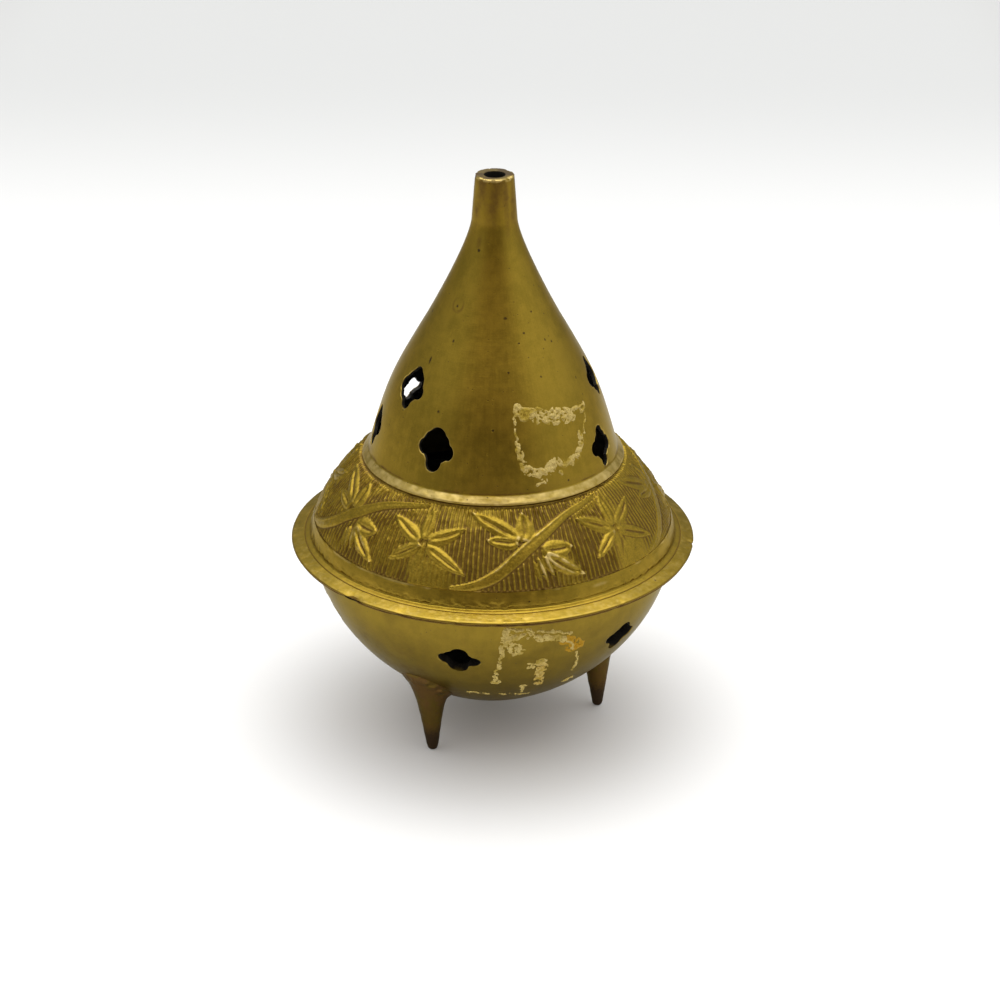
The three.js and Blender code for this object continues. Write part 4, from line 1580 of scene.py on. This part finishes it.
def add_floor(studio):
    """A wide, flat floor: pale paper that glows a little round the object, and a dark brown sheet
    in front and at the sides as painted shade for the brass to reflect.
    """
    sides = ((-1, -1), (1, -1), (1, 1), (-1, 1))
    corners = [(x * studio.floor_reach, y * studio.floor_reach, ground_height) for x, y in sides]
    floor = add_mesh("studio_floor", np.array(corners), [[0, 1, 2, 3]])
    material = bpy.data.materials.new("studio_floor_paper")
    graph = Graph(material)
    seen = seen_rays(graph)
    x, y, z = graph.split(graph.position())
    # The glow is painted light for the camera and for reflections. It is least at the object's
    # foot, which keeps the shade there dark.
    near = from_axis(x, y).rise(-0.02, 0.075)
    far = y.rise(0.13, 0.44)
    # Painted shade: the dark brown sheet in front and at the sides.
    table = y.rise(-0.16, -0.34).most(x.rise(0.16, 0.3) * 0.6).most(x.rise(-0.16, -0.3) * 0.6)
    glow = near * studio.glow * (1 - far) * (1 - table) * seen
    paper = graph.blend(far, studio.paper, studio.far_paper)
    graph.surface({
        "Base Color": graph.blend(table, paper, studio.table),
        "Roughness": 0.6,
        "Specular IOR Level": 0.2,
        "Emission Color": graph.blend(glow, (0, 0, 0), (1, 1, 0.99)),
        "Emission Strength": 1.0,
    })
    floor.data.materials.append(material)


def seen_rays(graph):
    """1 for what the camera, a reflection or a transmission sees."""
    rays = graph.add("ShaderNodeLightPath", output="Is Camera Ray")
    outputs = rays.socket.node.outputs
    glossy = Value(graph, outputs["Is Glossy Ray"])
    through = Value(graph, outputs["Is Transmission Ray"])
    return rays.most(glossy).most(through)


def light_world(studio):
    """A soft tent: bright overhead, dimmer at the sides and darkest towards the camera."""
    world = bpy.data.worlds.new("studio_tent")
    bpy.context.scene.world = world
    graph = Graph(world)
    direction = graph.add("ShaderNodeTexCoord", output="Generated")
    x, y, z = graph.split(direction)
    level = from_axis(x, y) + 0.001
    front = (0 - y) / level
    right = x / level
    low = 1 - z.rise(0.7, 0.9)
    behind = (0 - front).rise(0.1, 0.9)
    bright_side = right.rise(0.3, 1.0) * (1 - behind * 0.6)
    camera_side = front.rise(0.55, 1.0) * low * (0.45 + z.rise(0.0, 0.3) * 0.55)
    overhead = (z + y * 0.11 - x * 0.06).rise(0.68, 0.88)
    strength = studio.side_light + z.rise(0.0, 0.55) * studio.high_light
    strength = strength + bright_side * studio.right_light
    strength = strength + overhead * studio.top_light - camera_side * studio.front_shade
    tint = graph.blend(camera_side, (1, 1, 1), studio.front_tint)
    background = graph.add("ShaderNodeBackground", None, {"Color": tint, "Strength": strength})
    graph.add("ShaderNodeOutputWorld", None, {"Surface": background})


def add_key_light(studio):
    lamp = bpy.data.lights.new("studio_key", "AREA")
    lamp.shape = "DISK"
    lamp.size = studio.key_size
    lamp.energy = studio.key_power
    key = bpy.data.objects.new("studio_key", lamp)
    key.location = studio.key_place
    aim = Vector(studio.aim) - key.location
    key.rotation_euler = aim.to_track_quat("-Z", "Y").to_euler()
    bpy.context.scene.collection.objects.link(key)


def add_camera(studio):
    camera = bpy.data.cameras.new("studio_camera")
    camera.lens = studio.lens
    camera.sensor_width = 36
    camera.clip_start = 0.01
    holder = bpy.data.objects.new("studio_camera", camera)
    tilt = Matrix.Rotation(math.pi / 2 - studio.elevation, 4, "X")
    roll = Matrix.Rotation(studio.roll, 4, "Z")
    back = Matrix.Translation((0, 0, studio.distance))
    holder.matrix_world = Matrix.Translation(studio.aim) @ tilt @ roll @ back
    bpy.context.scene.collection.objects.link(holder)
    bpy.context.scene.camera = holder


class BurnerSettings(bpy.types.PropertyGroup):
    """All settings of the burner"""

    bell: PointerProperty(type=BellSizes)
    shoulder: PointerProperty(type=ShoulderSizes)
    flange: PointerProperty(type=FlangeSizes)
    bowl: PointerProperty(type=BowlSizes)
    legs: PointerProperty(type=LegSizes)
    finish: PointerProperty(type=FinishSettings)
    studio: PointerProperty(type=StudioSettings)


OPERATORS = (
    BURNER_OT_bell,
    BURNER_OT_shoulder,
    BURNER_OT_flange,
    BURNER_OT_bowl,
    BURNER_OT_legs,
    BURNER_OT_residue,
    BURNER_OT_stage,
)


class BURNER_PT_panel(bpy.types.Panel):
    """Lists the burner's pieces, the studio and their settings"""

    bl_idname = "BURNER_PT_panel"
    bl_label = "Incense Burner"
    bl_space_type = "VIEW_3D"
    bl_region_type = "UI"
    bl_category = "Burner"

    def draw(self, context):
        for operator in OPERATORS:
            self.layout.operator(operator.bl_idname)
        for group in ("bell", "shoulder", "flange", "bowl", "legs", "finish", "studio"):
            box = self.layout.box()
            values = getattr(context.scene.burner, group)
            for name in values.__annotations__:
                box.prop(values, name)


CLASSES = (
    BellSizes,
    ShoulderSizes,
    FlangeSizes,
    BowlSizes,
    LegSizes,
    FinishSettings,
    StudioSettings,
    BurnerSettings,
    *OPERATORS,
    BURNER_PT_panel,
)


def register():
    for each in CLASSES:
        bpy.utils.register_class(each)
    bpy.types.Scene.burner = PointerProperty(type=BurnerSettings)


def unregister():
    del bpy.types.Scene.burner
    for each in reversed(CLASSES):
        bpy.utils.unregister_class(each)


def main():
    register()
    bpy.ops.burner.stage()
    bpy.ops.burner.bell()
    bpy.ops.burner.shoulder()
    bpy.ops.burner.flange()
    bpy.ops.burner.bowl()
    bpy.ops.burner.legs()
    bpy.ops.burner.residue()


if __name__ == "__main__":
    main()
